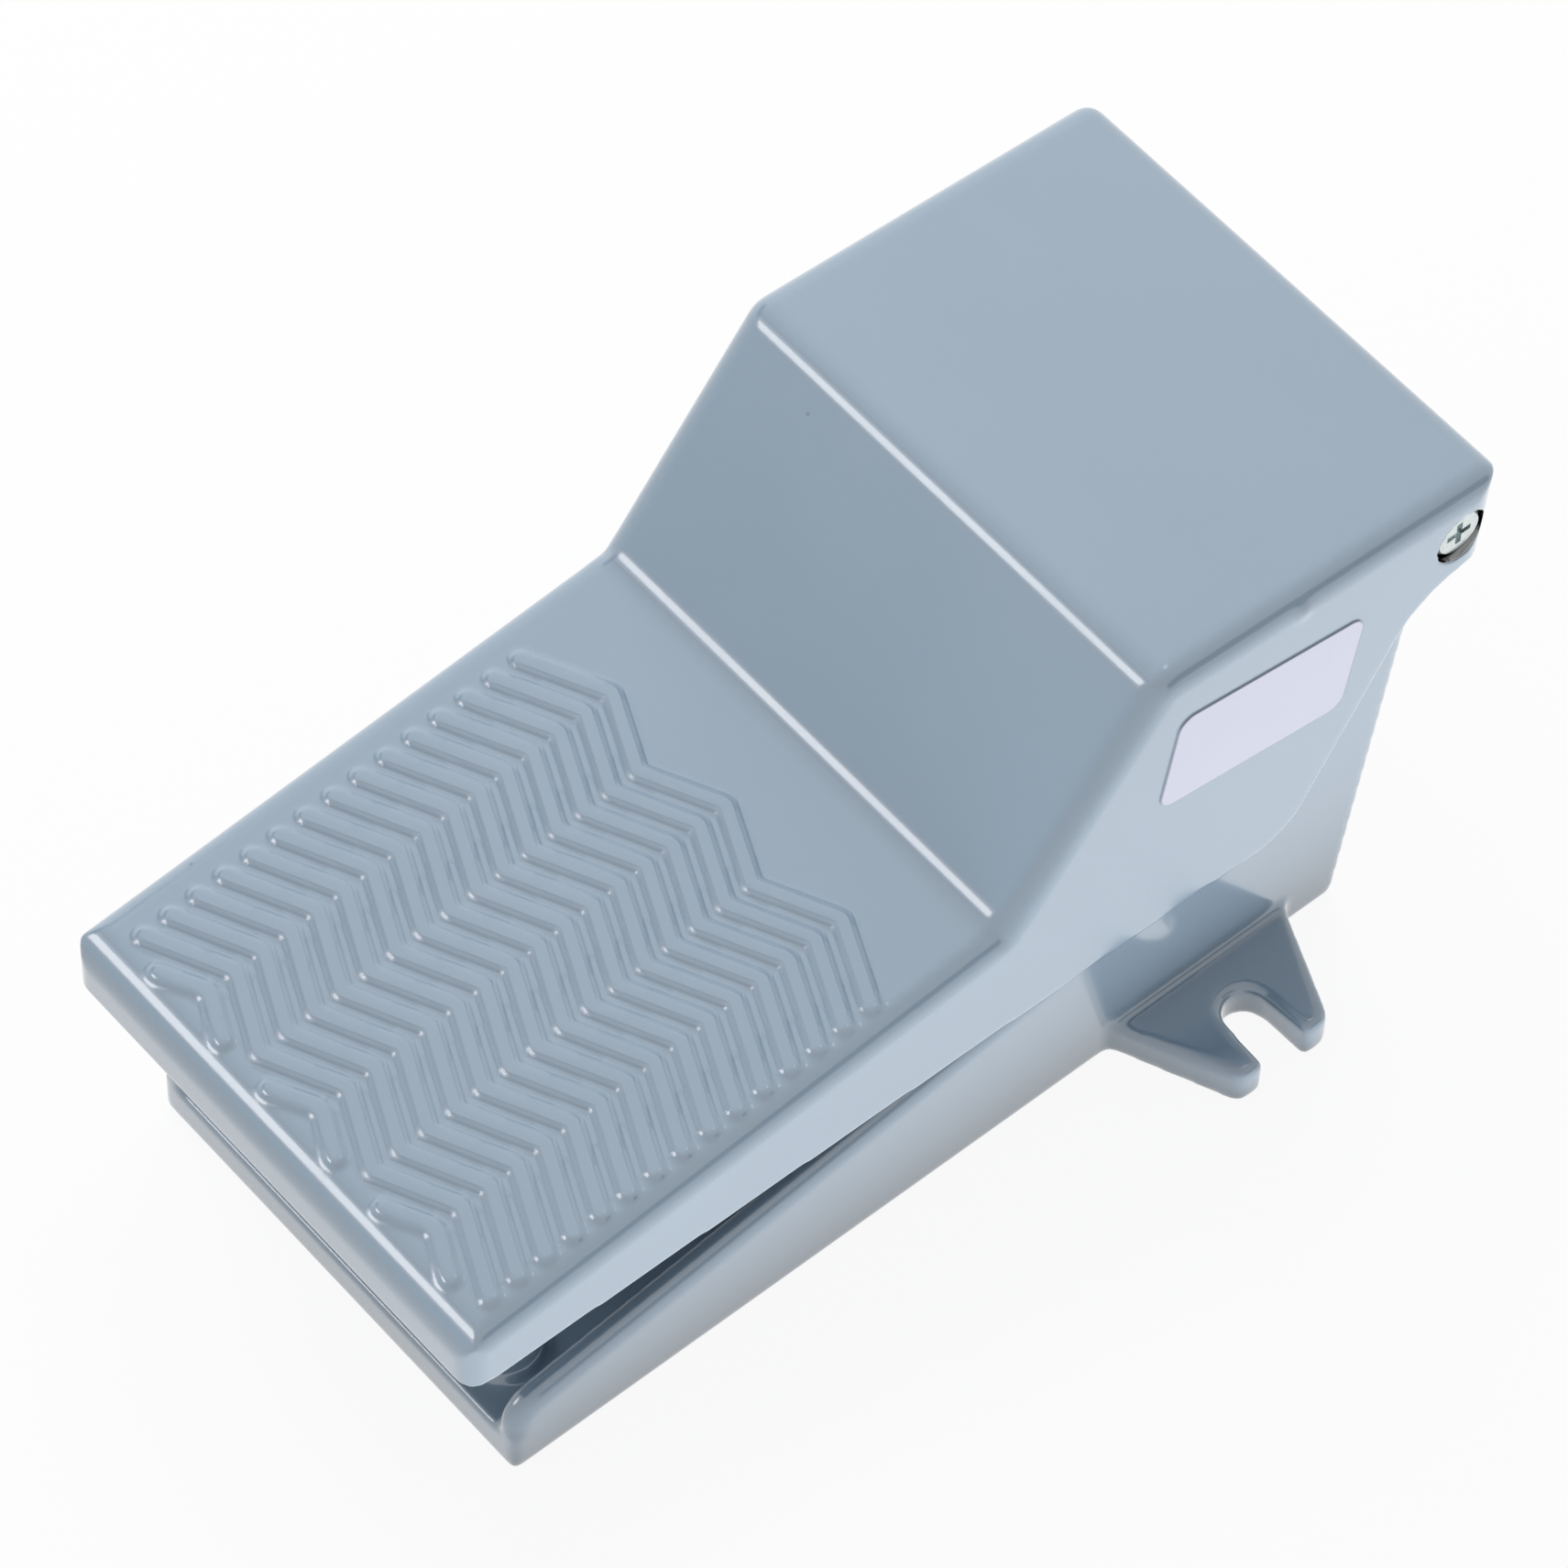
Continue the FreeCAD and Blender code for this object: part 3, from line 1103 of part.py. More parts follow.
def make_spool():
    body = new_body("spool", (0, spool_y, body_z))
    land = d.spool_diameter / 2
    groove = d.bore_diameter / 2 - d.running_fit - d.seal_cord - d.running_fit
    waist = d.spool_waist_diameter / 2
    half_groove = d.seal_cord / 2 + d.running_fit * 2
    points = [(0, spool_foot)]
    for index in range(LAND_COUNT):
        middle = land_centre(index)
        half = d.land_width / 2
        if index:
            points.append((waist, middle - half))
        points += [(land, middle - half), (land, middle - half_groove),
                   (groove, middle - half_groove), (groove, middle + half_groove),
                   (land, middle + half_groove), (land, middle + half)]
        if index < LAND_COUNT - 1:
            points.append((waist, middle + half))
    points.append((0, spool_head))
    profile = polygon_sketch(body, "spool_profile", "XZ", points)
    body.Tip = revolve(body, "Revolution", "spool_turn", profile)
    well = circle_sketch(body, "spool_well", "XY",
                         [((0, 0), d.spool_spring_diameter + d.screw_clearance)],
                         offset=(0, 0, spool_foot))
    body.Tip = pocket(body, "spool_well_cut", well, d.spool_well_depth)
    seals = new_body("spool_seals", (0, spool_y, body_z))
    ring = circle_sketch(seals, "seal_section", "XZ", [
        ((d.bore_diameter / 2 - d.running_fit - d.seal_cord / 2, land_centre(0)), d.seal_cord)])
    ring_turn = revolve(seals, "Revolution", "seal_turn", ring)
    repeat(seals, "seal_row", [ring_turn], (ring, ["V_Axis"]), land_pitch, LAND_COUNT)


def make_plunger():
    socket_depth = d.button_height / 2
    top = button_z + socket_depth - body_z
    foot = new_body("plunger", (0, spool_y, body_z))
    radius = d.plunger_diameter / 2
    flange = d.plunger_flange_diameter / 2
    profile = polygon_sketch(foot, "plunger_profile", "XZ", [
        (0, spool_head),
        (flange, spool_head),
        (flange, spool_head + d.plunger_flange_height),
        (radius, spool_head + d.plunger_flange_height),
        (radius, top),
        (0, top),
    ])
    foot.Tip = revolve(foot, "Revolution", "plunger_turn", profile)
    button = new_body("plunger_button", (0, spool_y, button_z))
    inner = radius + d.press_clearance
    outer = d.button_diameter / 2
    crown = d.button_crown
    cap = polygon_sketch(button, "button_profile", "XZ", [
        (inner, 0),
        (outer, 0),
        (outer, d.button_height - crown),
        (outer - crown, d.button_height),
        (0, d.button_height),
        (0, socket_depth),
        (inner, socket_depth),
    ])
    button.Tip = revolve(button, "Revolution", "button_turn", cap)
    seal = new_body("wiper_seal", (0, spool_y, cover_top_z - d.wiper_height))
    lip = polygon_sketch(seal, "wiper_profile", "XZ", [
        (radius + d.running_fit, 0),
        (d.wiper_diameter / 2, 0),
        (d.wiper_diameter / 2, d.wiper_height),
        (radius + d.running_fit, d.wiper_height),
    ])
    seal.Tip = revolve(seal, "Revolution", "wiper_turn", lip)


# Coil springs with a six-sided wire section
def make_spring(label, place, coil_diameter, wire, turns, height):
    body = new_body(label, place)
    section = new_sketch(body, label + "_section", "XZ")
    draw_hexagon(section, ((coil_diameter - wire) / 2, wire / 2), wire)
    coil = body.newObject("PartDesign::AdditiveHelix", label + "_coil")
    coil.Profile = section
    coil.ReferenceAxis = (section, ["V_Axis"])
    coil.Mode = "height-turns-angle"
    bind(coil, "Height", height - wire)
    bind(coil, "Turns", turns)
    body.Tip = coil


# Striker screw and its lock nut under the hood
def make_striker():
    seat = (0, spool_y, striker_z)
    screw = new_body("striker_screw", seat)
    head = d.striker_head_diameter / 2
    shank = d.striker_diameter / 2
    profile = polygon_sketch(screw, "striker_profile", "XZ", [
        (0, 0),
        (d.striker_tip_diameter / 2, 0),
        (head, d.striker_crown),
        (head, d.striker_head_height),
        (shank, d.striker_head_height),
        (shank, striker_top_z - striker_z),
        (0, striker_top_z - striker_z),
    ])
    screw.Tip = revolve(screw, "Revolution", "striker_turn", profile)
    nut = new_body("striker_nut", (0, spool_y, striker_boss_z - d.striker_nut_height))
    section = new_sketch(nut, "nut_section", "XY")
    draw_hexagon(section, (as_size(0), as_size(0)), d.striker_nut_width)
    draw_circle(section, (0, 0), d.striker_diameter + d.running_fit * 2)
    nut.Tip = pad(nut, "nut_pad", section, d.striker_nut_height)


# Blank label on the right side of the hood
def make_label():
    body = new_body("side_label", (pedal_half, heel_y - d.label_back, pedal_height - d.label_drop))
    fall = sine(d.label_tilt)
    level = cosine(d.label_tilt)
    points = []
    for along, up in ((-1, -1), (1, -1), (1, 1), (-1, 1)):
        run = d.label_length / 2 * along
        rise = d.label_height / 2 * up
        points.append((run * level + rise * fall, rise * level - run * fall))
    outline = polygon_sketch(body, "label_outline", "YZ", points)
    body.Tip = pad(body, "label_pad", outline, d.label_thickness)
    round_edges(body, "label_corners", d.label_corner_radius, lambda edge: runs_along(edge, ALONG_X))


pedal_body = make_pedal()
add_ribs(pedal_body)
make_base()
make_hinge(1, "right")
make_hinge(-1, "left")
make_washers()
make_valve_body()
make_covers()
make_gasket("upper_gasket", body_top_z)
make_gasket("lower_gasket", body_z - d.gasket_height)
sunk_seat = d.cover_head_height + d.screw_clearance
make_cover_screws("upper_cover_screws", cover_top_z - sunk_seat, 1)
make_cover_screws("lower_cover_screws", valve_foot_z + sunk_seat, -1)
make_valve_screws()
make_spool()
make_plunger()
make_spring("spool_spring", (0, spool_y, valve_foot_z + d.cover_web), d.spool_spring_diameter,
            d.spool_spring_wire, d.spool_spring_turns,
            body_z + spool_foot + d.spool_well_depth - d.seat_clearance - valve_foot_z - d.cover_web)
make_spring("pedal_spring", (0, spring_y, d.floor_thickness), d.spring_diameter,
            d.spring_wire, d.spring_turns, spring_seat_z - d.seat_clearance - d.floor_thickness)
make_striker()
make_label()
document.recompute()

# Nothing is written unless every object is sound
for thing in document.Objects:
    if "Invalid" in thing.State or "Error" in thing.State:
        raise ValueError("%s failed: %s" % (thing.Name, thing.getStatusString()))
for part in SUBPARTS:
    if part.Shape.isNull() or not part.Shape.isValid():
        raise ValueError("%s has no sound shape" % part.Label)

os.makedirs("parts", exist_ok=True)
for part in SUBPARTS:
    part.Shape.exportStep("parts/%s.step" % part.Label)
    box = part.Shape.BoundBox
    print("%-20s solids %d  volume %.0f  x %.1f..%.1f  y %.1f..%.1f  z %.1f..%.1f" % (
        part.Label, len(part.Shape.Solids), part.Shape.Volume,
        box.XMin, box.XMax, box.YMin, box.YMax, box.ZMin, box.ZMax))
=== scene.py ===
import json
import math

import bpy
import bmesh
from mathutils import Matrix, Vector
from mathutils.bvhtree import BVHTree
import numpy as np


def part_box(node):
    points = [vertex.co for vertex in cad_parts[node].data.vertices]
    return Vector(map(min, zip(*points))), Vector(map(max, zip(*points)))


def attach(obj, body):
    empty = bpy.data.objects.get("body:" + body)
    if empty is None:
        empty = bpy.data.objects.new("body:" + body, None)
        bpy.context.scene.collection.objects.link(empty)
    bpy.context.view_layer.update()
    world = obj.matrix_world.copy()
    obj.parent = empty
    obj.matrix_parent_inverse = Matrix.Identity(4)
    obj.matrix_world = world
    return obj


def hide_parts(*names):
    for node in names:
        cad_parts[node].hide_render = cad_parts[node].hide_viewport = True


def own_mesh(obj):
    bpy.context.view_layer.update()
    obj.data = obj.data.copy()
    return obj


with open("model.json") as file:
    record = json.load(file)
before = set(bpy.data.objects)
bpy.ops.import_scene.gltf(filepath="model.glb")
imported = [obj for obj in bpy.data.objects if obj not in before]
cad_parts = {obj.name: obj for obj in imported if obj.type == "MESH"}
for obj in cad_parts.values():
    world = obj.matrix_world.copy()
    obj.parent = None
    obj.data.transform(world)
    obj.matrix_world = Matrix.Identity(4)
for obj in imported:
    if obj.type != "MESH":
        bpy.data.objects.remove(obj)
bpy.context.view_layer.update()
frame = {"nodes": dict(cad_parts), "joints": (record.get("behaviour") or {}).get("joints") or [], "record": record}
scene = bpy.context.scene
MM = 0.001
MICRON = 0.001 * MM

# Places that the CAD model gives
JOINTS = {joint["name"]: joint for joint in frame["joints"]}
PIVOT = Vector(JOINTS["treadle_press"]["pos_m"])
LABEL_LOW, LABEL_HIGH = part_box("side_label")

# The treadle's outer faces, as built in the CAD model
TOE_Y = -106 * MM
TOE_HEIGHT = 55.4 * MM
TREADLE_HALF = 50 * MM
TREAD_SLOPE = math.radians(5.5)
RISER_SLOPE = math.radians(52.5)
HOOD_SLOPE = math.radians(3.65)

# Camera, fitted to the photograph
PHOTO_SIDE = 1711
FOCAL_PIXELS = 8684
CAMERA_AZIMUTH = math.radians(48.06)
CAMERA_ELEVATION = math.radians(54.81)
CAMERA_ROLL = math.radians(2.05)
CAMERA_DISTANCE = 1267.2 * MM
CAMERA_TARGET = Vector((0.6, -1.6, 57.2)) * MM
CAMERA_REACH = 10
SENSOR_WIDTH = 36


def make_camera():
    back = Vector((math.sin(CAMERA_AZIMUTH) * math.cos(CAMERA_ELEVATION),
                   -math.cos(CAMERA_AZIMUTH) * math.cos(CAMERA_ELEVATION),
                   math.sin(CAMERA_ELEVATION)))
    level = Vector((0, 0, 1)).cross(back).normalized()
    upright = back.cross(level)
    right = math.cos(CAMERA_ROLL) * level + math.sin(CAMERA_ROLL) * upright
    up = math.cos(CAMERA_ROLL) * upright - math.sin(CAMERA_ROLL) * level
    data = bpy.data.cameras.new("camera")
    data.sensor_width = SENSOR_WIDTH
    data.lens = FOCAL_PIXELS / PHOTO_SIDE * SENSOR_WIDTH
    data.clip_end = CAMERA_REACH
    camera = bpy.data.objects.new("camera", data)
    scene.collection.objects.link(camera)
    turn = Matrix((right, up, back)).transposed().to_4x4()
    camera.matrix_world = Matrix.Translation(CAMERA_TARGET + CAMERA_DISTANCE * back) @ turn
    scene.camera = camera


# Gives a socket its value: another node's output, or a constant
def feed(tree, socket, value):
    if hasattr(value, "is_output"):
        tree.links.new(value, socket)
    else:
        socket.default_value = value


def put_node(tree, kind, inputs=None, **settings):
    node = tree.nodes.new("ShaderNode" + kind)
    for name, value in settings.items():
        setattr(node, name, value)
    for name, value in (inputs or {}).items():
        feed(tree, node.inputs[name], value)
    return node.outputs


def put_math(tree, operation, *values):
    return put_node(tree, "Math", dict(enumerate(values)), operation=operation)[0]


# Studio: a white floor and surroundings, a round key lamp, three soft lamps that light without
# being mirrored, and cards that only reflections show, as a photographer sets them to draw the
# edges of glossy paint
FLOOR_SIDE = 6.0
FLOOR_GAP = 0.2 * MM
FLOOR_GREY = 0.8
FLOOR_GLOW = 0.92
WORLD_GREY = (0.97, 0.985, 1.0)
WORLD_LEVEL = 0.42
WHITE = (1, 1, 1)
HIGHLIGHT_TINT = (1.0, 0.95, 0.96)
STUDIO_MIDDLE = Vector((0, 0, 0.05))
BOUNCE_ASIDE = 0.372
BOUNCE_HEIGHT = 1 * MM

# Each with its name, direction, distance, width, power and shape, and whether it is mirrored
LAMPS = (
    ("key_lamp", (-0.43, -0.756, 0.497), 1.25, 0.4, 1.3, "DISK", True),
    ("key_softbox", (-0.43, -0.515, 0.742), 1.3, 0.7, 0.8, "SQUARE", False),
    ("top_softbox", (-0.6, 0.3, 0.8), 1.3, 1.2, 15.5, "SQUARE", False),
    ("floor_bounce", (1, 0, 0), BOUNCE_ASIDE, 0.6, 2.4, "SQUARE", False),
)
# Each with its name, direction, distance, width and height, level and tint
CARDS = (
    ("front_card_wide", (-0.43, -0.72, 0.545), 1.34, (0.9, 0.85), 0.8, HIGHLIGHT_TINT),
    ("front_card_core", (-0.43, -0.75, 0.5), 1.3, (0.64, 0.6), 1.5, HIGHLIGHT_TINT),
    ("low_card", (-0.43, -0.889, 0.13), 1.5, (1.5, 0.55), 1.03, (0.86, 1.0, 1.12)),
    ("strip_card", (-0.08, 0.385, 0.92), 1.1, (0.16, 0.16), 2.4, WHITE),
    ("right_card", (0.82, 0.4, 0.4), 1.1, (0.9, 0.42), 0.3, WHITE),
    ("left_card", (-0.76, -0.2, 0.5), 1.1, (0.7, 0.4), 0.35, WHITE),
)


def link_aimed(thing, way, distance):
    scene.collection.objects.link(thing)
    thing.location = STUDIO_MIDDLE + distance * Vector(way).normalized()
    thing.rotation_euler = (STUDIO_MIDDLE - thing.location).to_track_quat("-Z", "Y").to_euler()


def make_lamp(name, way, distance, side, power, shape, mirrored):
    data = bpy.data.lights.new(name, "AREA")
    data.shape = shape
    data.size = side
    data.energy = power
    lamp = bpy.data.objects.new(name, data)
    link_aimed(lamp, way, distance)
    lamp.visible_glossy = mirrored
    lamp.visible_camera = False


def plane_mesh(name, width, height):
    x, y = width / 2, height / 2
    mesh = bpy.data.meshes.new(name)
    mesh.from_pydata([(-x, -y, 0), (x, -y, 0), (x, y, 0), (-x, y, 0)], [], [(0, 1, 2, 3)])
    return mesh


def start_tree(owner):
    owner.use_nodes = True
    owner.node_tree.nodes.clear()
    return owner.node_tree


def make_card(name, way, distance, size, level, tint):
    mesh = plane_mesh(name, *size)
    material = bpy.data.materials.new(name)
    tree = start_tree(material)
    glow = put_node(tree, "Emission", {"Color": (*tint, 1), "Strength": level})
    put_node(tree, "OutputMaterial", {"Surface": glow[0]})
    mesh.materials.append(material)
    card = bpy.data.objects.new(name, mesh)
    link_aimed(card, way, distance)
    card.visible_camera = False
    card.visible_diffuse = False
    card.visible_shadow = False
    card.visible_transmission = False


# One for rays from the camera, from a reflection or through glass, nought for others
def direct_rays(tree):
    path = put_node(tree, "LightPath")
    total = path["Is Camera Ray"]
    for ray in ("Is Glossy Ray", "Is Transmission Ray"):
        total = put_math(tree, "MAXIMUM", total, path[ray])
    return total


def make_floor():
    mesh = plane_mesh("floor", FLOOR_SIDE, FLOOR_SIDE)
    floor = bpy.data.objects.new("floor", mesh)
    scene.collection.objects.link(floor)
    floor.location.z = -FLOOR_GAP
    material = bpy.data.materials.new("studio_floor")
    tree = start_tree(material)
    paper = put_node(tree, "BsdfDiffuse", {"Color": (FLOOR_GREY, FLOOR_GREY, FLOOR_GREY, 1)})
    glow = put_node(tree, "Emission", {"Strength": 1.0})
    seen = put_math(tree, "MULTIPLY", direct_rays(tree), FLOOR_GLOW)
    mixed = put_node(tree, "MixShader", {0: seen, 1: paper[0], 2: glow[0]})
    put_node(tree, "OutputMaterial", {"Surface": mixed[0]})
    mesh.materials.append(material)


def make_world():
    world = bpy.data.worlds.new("studio")
    scene.world = world
    tree = start_tree(world)
    surround = put_node(tree, "Background", {"Color": (*WORLD_GREY, 1), "Strength": WORLD_LEVEL})
    backdrop = put_node(tree, "Background", {"Color": (*WHITE, 1), "Strength": 1.0})
    mixed = put_node(tree, "MixShader", {0: direct_rays(tree), 1: surround[0], 2: backdrop[0]})
    put_node(tree, "OutputWorld", {"Surface": mixed[0]})


def make_studio():
    make_floor()
    make_world()
    for lamp in LAMPS:
        make_lamp(*lamp)
    bounce = bpy.data.objects["floor_bounce"]
    bounce.location.z = BOUNCE_HEIGHT
    bounce.rotation_euler = (math.pi, 0, 0)
    for card in CARDS:
        make_card(*card)
    scene.view_settings.view_transform = "Standard"


# Node groups that several finishes share
def add_socket(group, name, way, kind):
    return group.interface.new_socket(name=name, in_out=way, socket_type="NodeSocket" + kind)


def start_group(name, inputs, outputs):
    group = bpy.data.node_groups.new(name, "ShaderNodeTree")
    for label, kind, value in inputs:
        add_socket(group, label, "INPUT", kind).default_value = value
    for label, kind in outputs:
        add_socket(group, label, "OUTPUT", kind)
    given, result = group.nodes.new("NodeGroupInput"), group.nodes.new("NodeGroupOutput")
    return group, given.outputs, result.inputs


def put_place(tree):
    return put_node(tree, "TexCoord")["Object"]


def put_noise(tree, vector, scale, detail, roughness=0.5):
    return put_node(tree, "TexNoise", {
        "Vector": vector, "Scale": scale, "Detail": detail, "Roughness": roughness})["Fac"]


def put_range(tree, value, low, high, to_low, to_high):
    return put_node(tree, "MapRange", {
        "Value": value, "From Min": low, "From Max": high,
        "To Min": to_low, "To Max": to_high})["Result"]


# Rises from nought to one between two values, or falls where the first is the higher
def put_fade(tree, value, start, end):
    if start < end:
        return put_range(tree, value, start, end, 0.0, 1.0)
    return put_range(tree, value, end, start, 1.0, 0.0)


def put_mix(tree, factor, first, second):
    return put_node(tree, "Mix", {0: factor, 6: first, 7: second},
                    data_type="RGBA", blend_type="MIX")[2]


def put_scaled(tree, vector, factor):
    return put_node(tree, "VectorMath", {0: vector, "Scale": factor}, operation="SCALE")[0]


def put_bump(tree, height, depth, **inputs):
    return put_node(tree, "Bump", {
        "Strength": 1.0, "Distance": depth, "Height": height, **inputs})["Normal"]


MOTTLE_RATIO = 9.0
MOTTLE_FINE = 0.3


def make_mottle_group():
    group, given, result = start_group(
        "colour_mottle",
        [("Colour", "Color", (0.5, 0.5, 0.5, 1)), ("Shift", "Float", 0.05),
         ("Scale", "Float", 60.0)],
        [("Colour", "Color")])
    place = put_place(group)
    broad = put_noise(group, place, given["Scale"], 2.0)
    fine_scale = put_math(group, "MULTIPLY", given["Scale"], MOTTLE_RATIO)
    fine = put_noise(group, place, fine_scale, 3.0)
    both = put_math(group, "ADD", put_math(group, "MULTIPLY", broad, 1 - MOTTLE_FINE),
                    put_math(group, "MULTIPLY", fine, MOTTLE_FINE))
    centred = put_math(group, "SUBTRACT", both, 0.5)
    level = put_math(group, "MULTIPLY_ADD", centred, given["Shift"], 1.0)
    feed(group, result["Colour"], put_scaled(group, given["Colour"], level))
    return group


LEAST_SPECK = 0.4
SPECK_CORE = 0.6


def make_speck_group():
    group, given, result = start_group(
        "specks",
        [("Scale", "Float", 200.0), ("Size", "Float", 0.12), ("Share", "Float", 0.1)],
        [("Mask", "Float")])
    cells = put_node(group, "TexVoronoi", {
        "Vector": put_place(group), "Scale": given["Scale"], "Randomness": 1.0})
    parts = put_node(group, "SeparateColor", {"Color": cells["Color"]})
    chosen = put_math(group, "LESS_THAN", parts[0], given["Share"])
    width = put_math(group, "MULTIPLY_ADD", parts[1], 1 - LEAST_SPECK, LEAST_SPECK)
    reach = put_math(group, "MULTIPLY", width, given["Size"])
    core = put_math(group, "MULTIPLY", reach, SPECK_CORE)
    dot = put_range(group, cells["Distance"], core, reach, 1.0, 0.0)
    feed(group, result["Mask"], put_math(group, "MULTIPLY", chosen, dot))
    return group


RELIEF_RATIO = 5.0


def make_relief_group():
    group, given, result = start_group(
        "surface_relief",
        [("Scale", "Float", 300.0), ("Depth", "Float", 20 * MICRON), ("Fine Share", "Float", 0.3),
         ("Pits", "Float", 0.0)],
        [("Normal", "Vector")])
    place = put_place(group)
    broad = put_noise(group, place, given["Scale"], 1.0)
    fine_scale = put_math(group, "MULTIPLY", given["Scale"], RELIEF_RATIO)
    fine = put_noise(group, place, fine_scale, 2.0)
    height = put_math(group, "MULTIPLY_ADD", fine, given["Fine Share"], broad)
    height = put_math(group, "SUBTRACT", height, given["Pits"])
    feed(group, result["Normal"], put_bump(group, height, given["Depth"]))
    return group


GLOSS_CLOUD = (0.35, 0.7)


def make_gloss_group():
    group, given, result = start_group(
        "handled_gloss",
        [("Low", "Float", 0.1), ("High", "Float", 0.2), ("Scale", "Float", 40.0)],
        [("Roughness", "Float")])
    cloud = put_noise(group, put_place(group), given["Scale"], 4.0, 0.6)
    feed(group, result["Roughness"],
         put_range(group, cloud, *GLOSS_CLOUD, given["Low"], given["High"]))
    return group


# Lines left by turning, milling or drawing: noise squeezed along one direction
def make_tool_lines_group():
    group, given, result = start_group(
        "tool_lines",
        [("Stretch", "Vector", (1, 1, 1)), ("Scale", "Float", 4000.0),
         ("Depth", "Float", 4 * MICRON)],
        [("Lines", "Float"), ("Normal", "Vector")])
    squeezed = put_node(group, "VectorMath", {0: put_place(group), 1: given["Stretch"]},
                        operation="MULTIPLY")
    lines = put_noise(group, squeezed[0], given["Scale"], 4.0, 0.65)
    feed(group, result["Lines"], lines)
    feed(group, result["Normal"], put_bump(group, lines, given["Depth"]))
    return group


# Fine steps that the mould's cutter left beside each rib, as a height over the tread. Rows are
# counted from the rib nearest the riser, and a share is a distance from a rib in rows.
RIB_PITCH = 5.465 * MM
RIB_STEP = 28.15 * MM
RIB_SLOPE = 6.45 / (28.15 / 2)
RIB_OFFSET = 1.7 * MM
REAR_PEAK = 91.7 * MM
REAR_ROWS = (0.6, 0.45)
TOE_ROWS = (-14.6, -14.45)
FIELD_SIDE = (43.5 * MM, 42 * MM)
STEPS_START = (0.13, 0.2)
STEPS_END = (0.5, 0.42)
STEP_WAVES = 6.0
STEP_DEPTH = 30 * MICRON
STEP_FLOOR = 0.5 * MM


def make_rib_steps_group():
    group, _, result = start_group("rib_steps", [], [("Height", "Float")])
    place = put_node(group, "SeparateXYZ", {0: put_place(group)})
    from_toe = put_math(group, "SUBTRACT", place["Y"], TOE_Y)
    from_middle = put_math(group, "SUBTRACT", place["X"], RIB_OFFSET)
    run = put_math(group, "DIVIDE", from_toe, math.cos(TREAD_SLOPE))
    swing = put_math(group, "PINGPONG", from_middle, RIB_STEP / 2)
    line = put_math(group, "MULTIPLY_ADD", swing, RIB_SLOPE,
                    put_math(group, "SUBTRACT", run, REAR_PEAK))
    rows = put_math(group, "DIVIDE", line, RIB_PITCH)
    between = put_math(group, "FRACT", put_math(group, "ADD", rows, 0.5))
    share = put_math(group, "ABSOLUTE", put_math(group, "SUBTRACT", between, 0.5))
    turn = put_math(group, "MULTIPLY", share, STEP_WAVES * 2 * math.pi)
    height = put_math(group, "COSINE", turn)
    floor = put_math(group, "MULTIPLY_ADD", from_toe, math.tan(TREAD_SLOPE),
                     TOE_HEIGHT - STEP_FLOOR)
    for mask in (put_fade(group, share, *STEPS_START), put_fade(group, share, *STEPS_END),
                 put_math(group, "GREATER_THAN", place["Z"], floor),
                 put_fade(group, rows, *REAR_ROWS), put_fade(group, rows, *TOE_ROWS),
                 put_fade(group, put_math(group, "ABSOLUTE", from_middle), *FIELD_SIDE)):
        height = put_math(group, "MULTIPLY", height, mask)
    feed(group, result["Height"], height)
    return group


GROUPS = {
    "rib_steps": make_rib_steps_group(),
    "mottle": make_mottle_group(),
    "specks": make_speck_group(),
    "relief": make_relief_group(),
    "gloss": make_gloss_group(),
    "lines": make_tool_lines_group(),
}


def put_group(tree, name, **values):
    inputs = {key.replace("_", " "): value for key, value in values.items()}
    node = tree.nodes.new("ShaderNodeGroup")
    node.node_tree = GROUPS[name]
    for key, value in inputs.items():
        feed(tree, node.inputs[key], value)
    return node.outputs


def start_material(name, **constants):
    material = bpy.data.materials.new(name)
    material.use_nodes = True
    tree = material.node_tree
    surface = tree.nodes["Principled BSDF"].inputs
    for key, value in constants.items():
        surface[key.replace("_", " ")].default_value = value
    return material, tree, surface


# A colour of the screen, from 0 to 255, as the shaders take it
def linear(red, green, blue):
    def channel(value):
        value = value / 255
        return value / 12.92 if value <= 0.04045 else ((value + 0.055) / 1.055) ** 2.4
    return (channel(red), channel(green), channel(blue), 1)


# Glossy blue-grey enamel on cast aluminium, bare where the screw seats were machined
ENAMEL = linear(134, 153, 170)
BARE_CASTING = linear(150, 148, 146)
SPECK_COLOUR = linear(95, 104, 114)
SPECK_STRENGTH = 0.55
PIT_DEPTH = 1.5
SEAT_RADIUS = 5.32 * MM
SEAT_START = 46.3 * MM
SEAT_END = 49.85 * MM


# One on the machined seats around the hinge screws' heads, nought elsewhere
def put_seat_mask(tree):
    place = put_node(tree, "SeparateXYZ", {0: put_place(tree)})
    across = put_math(tree, "SUBTRACT", place["Y"], PIVOT.y)
    rise = put_math(tree, "SUBTRACT", place["Z"], PIVOT.z)
    radius = put_math(tree, "SQRT", put_math(
        tree, "ADD", put_math(tree, "MULTIPLY", across, across),
        put_math(tree, "MULTIPLY", rise, rise)))
    out = put_math(tree, "ABSOLUTE", place["X"])
    mask = put_math(tree, "LESS_THAN", radius, SEAT_RADIUS)
    mask = put_math(tree, "MULTIPLY", mask, put_math(tree, "GREATER_THAN", out, SEAT_START))
    return put_math(tree, "MULTIPLY", mask, put_math(tree, "LESS_THAN", out, SEAT_END))


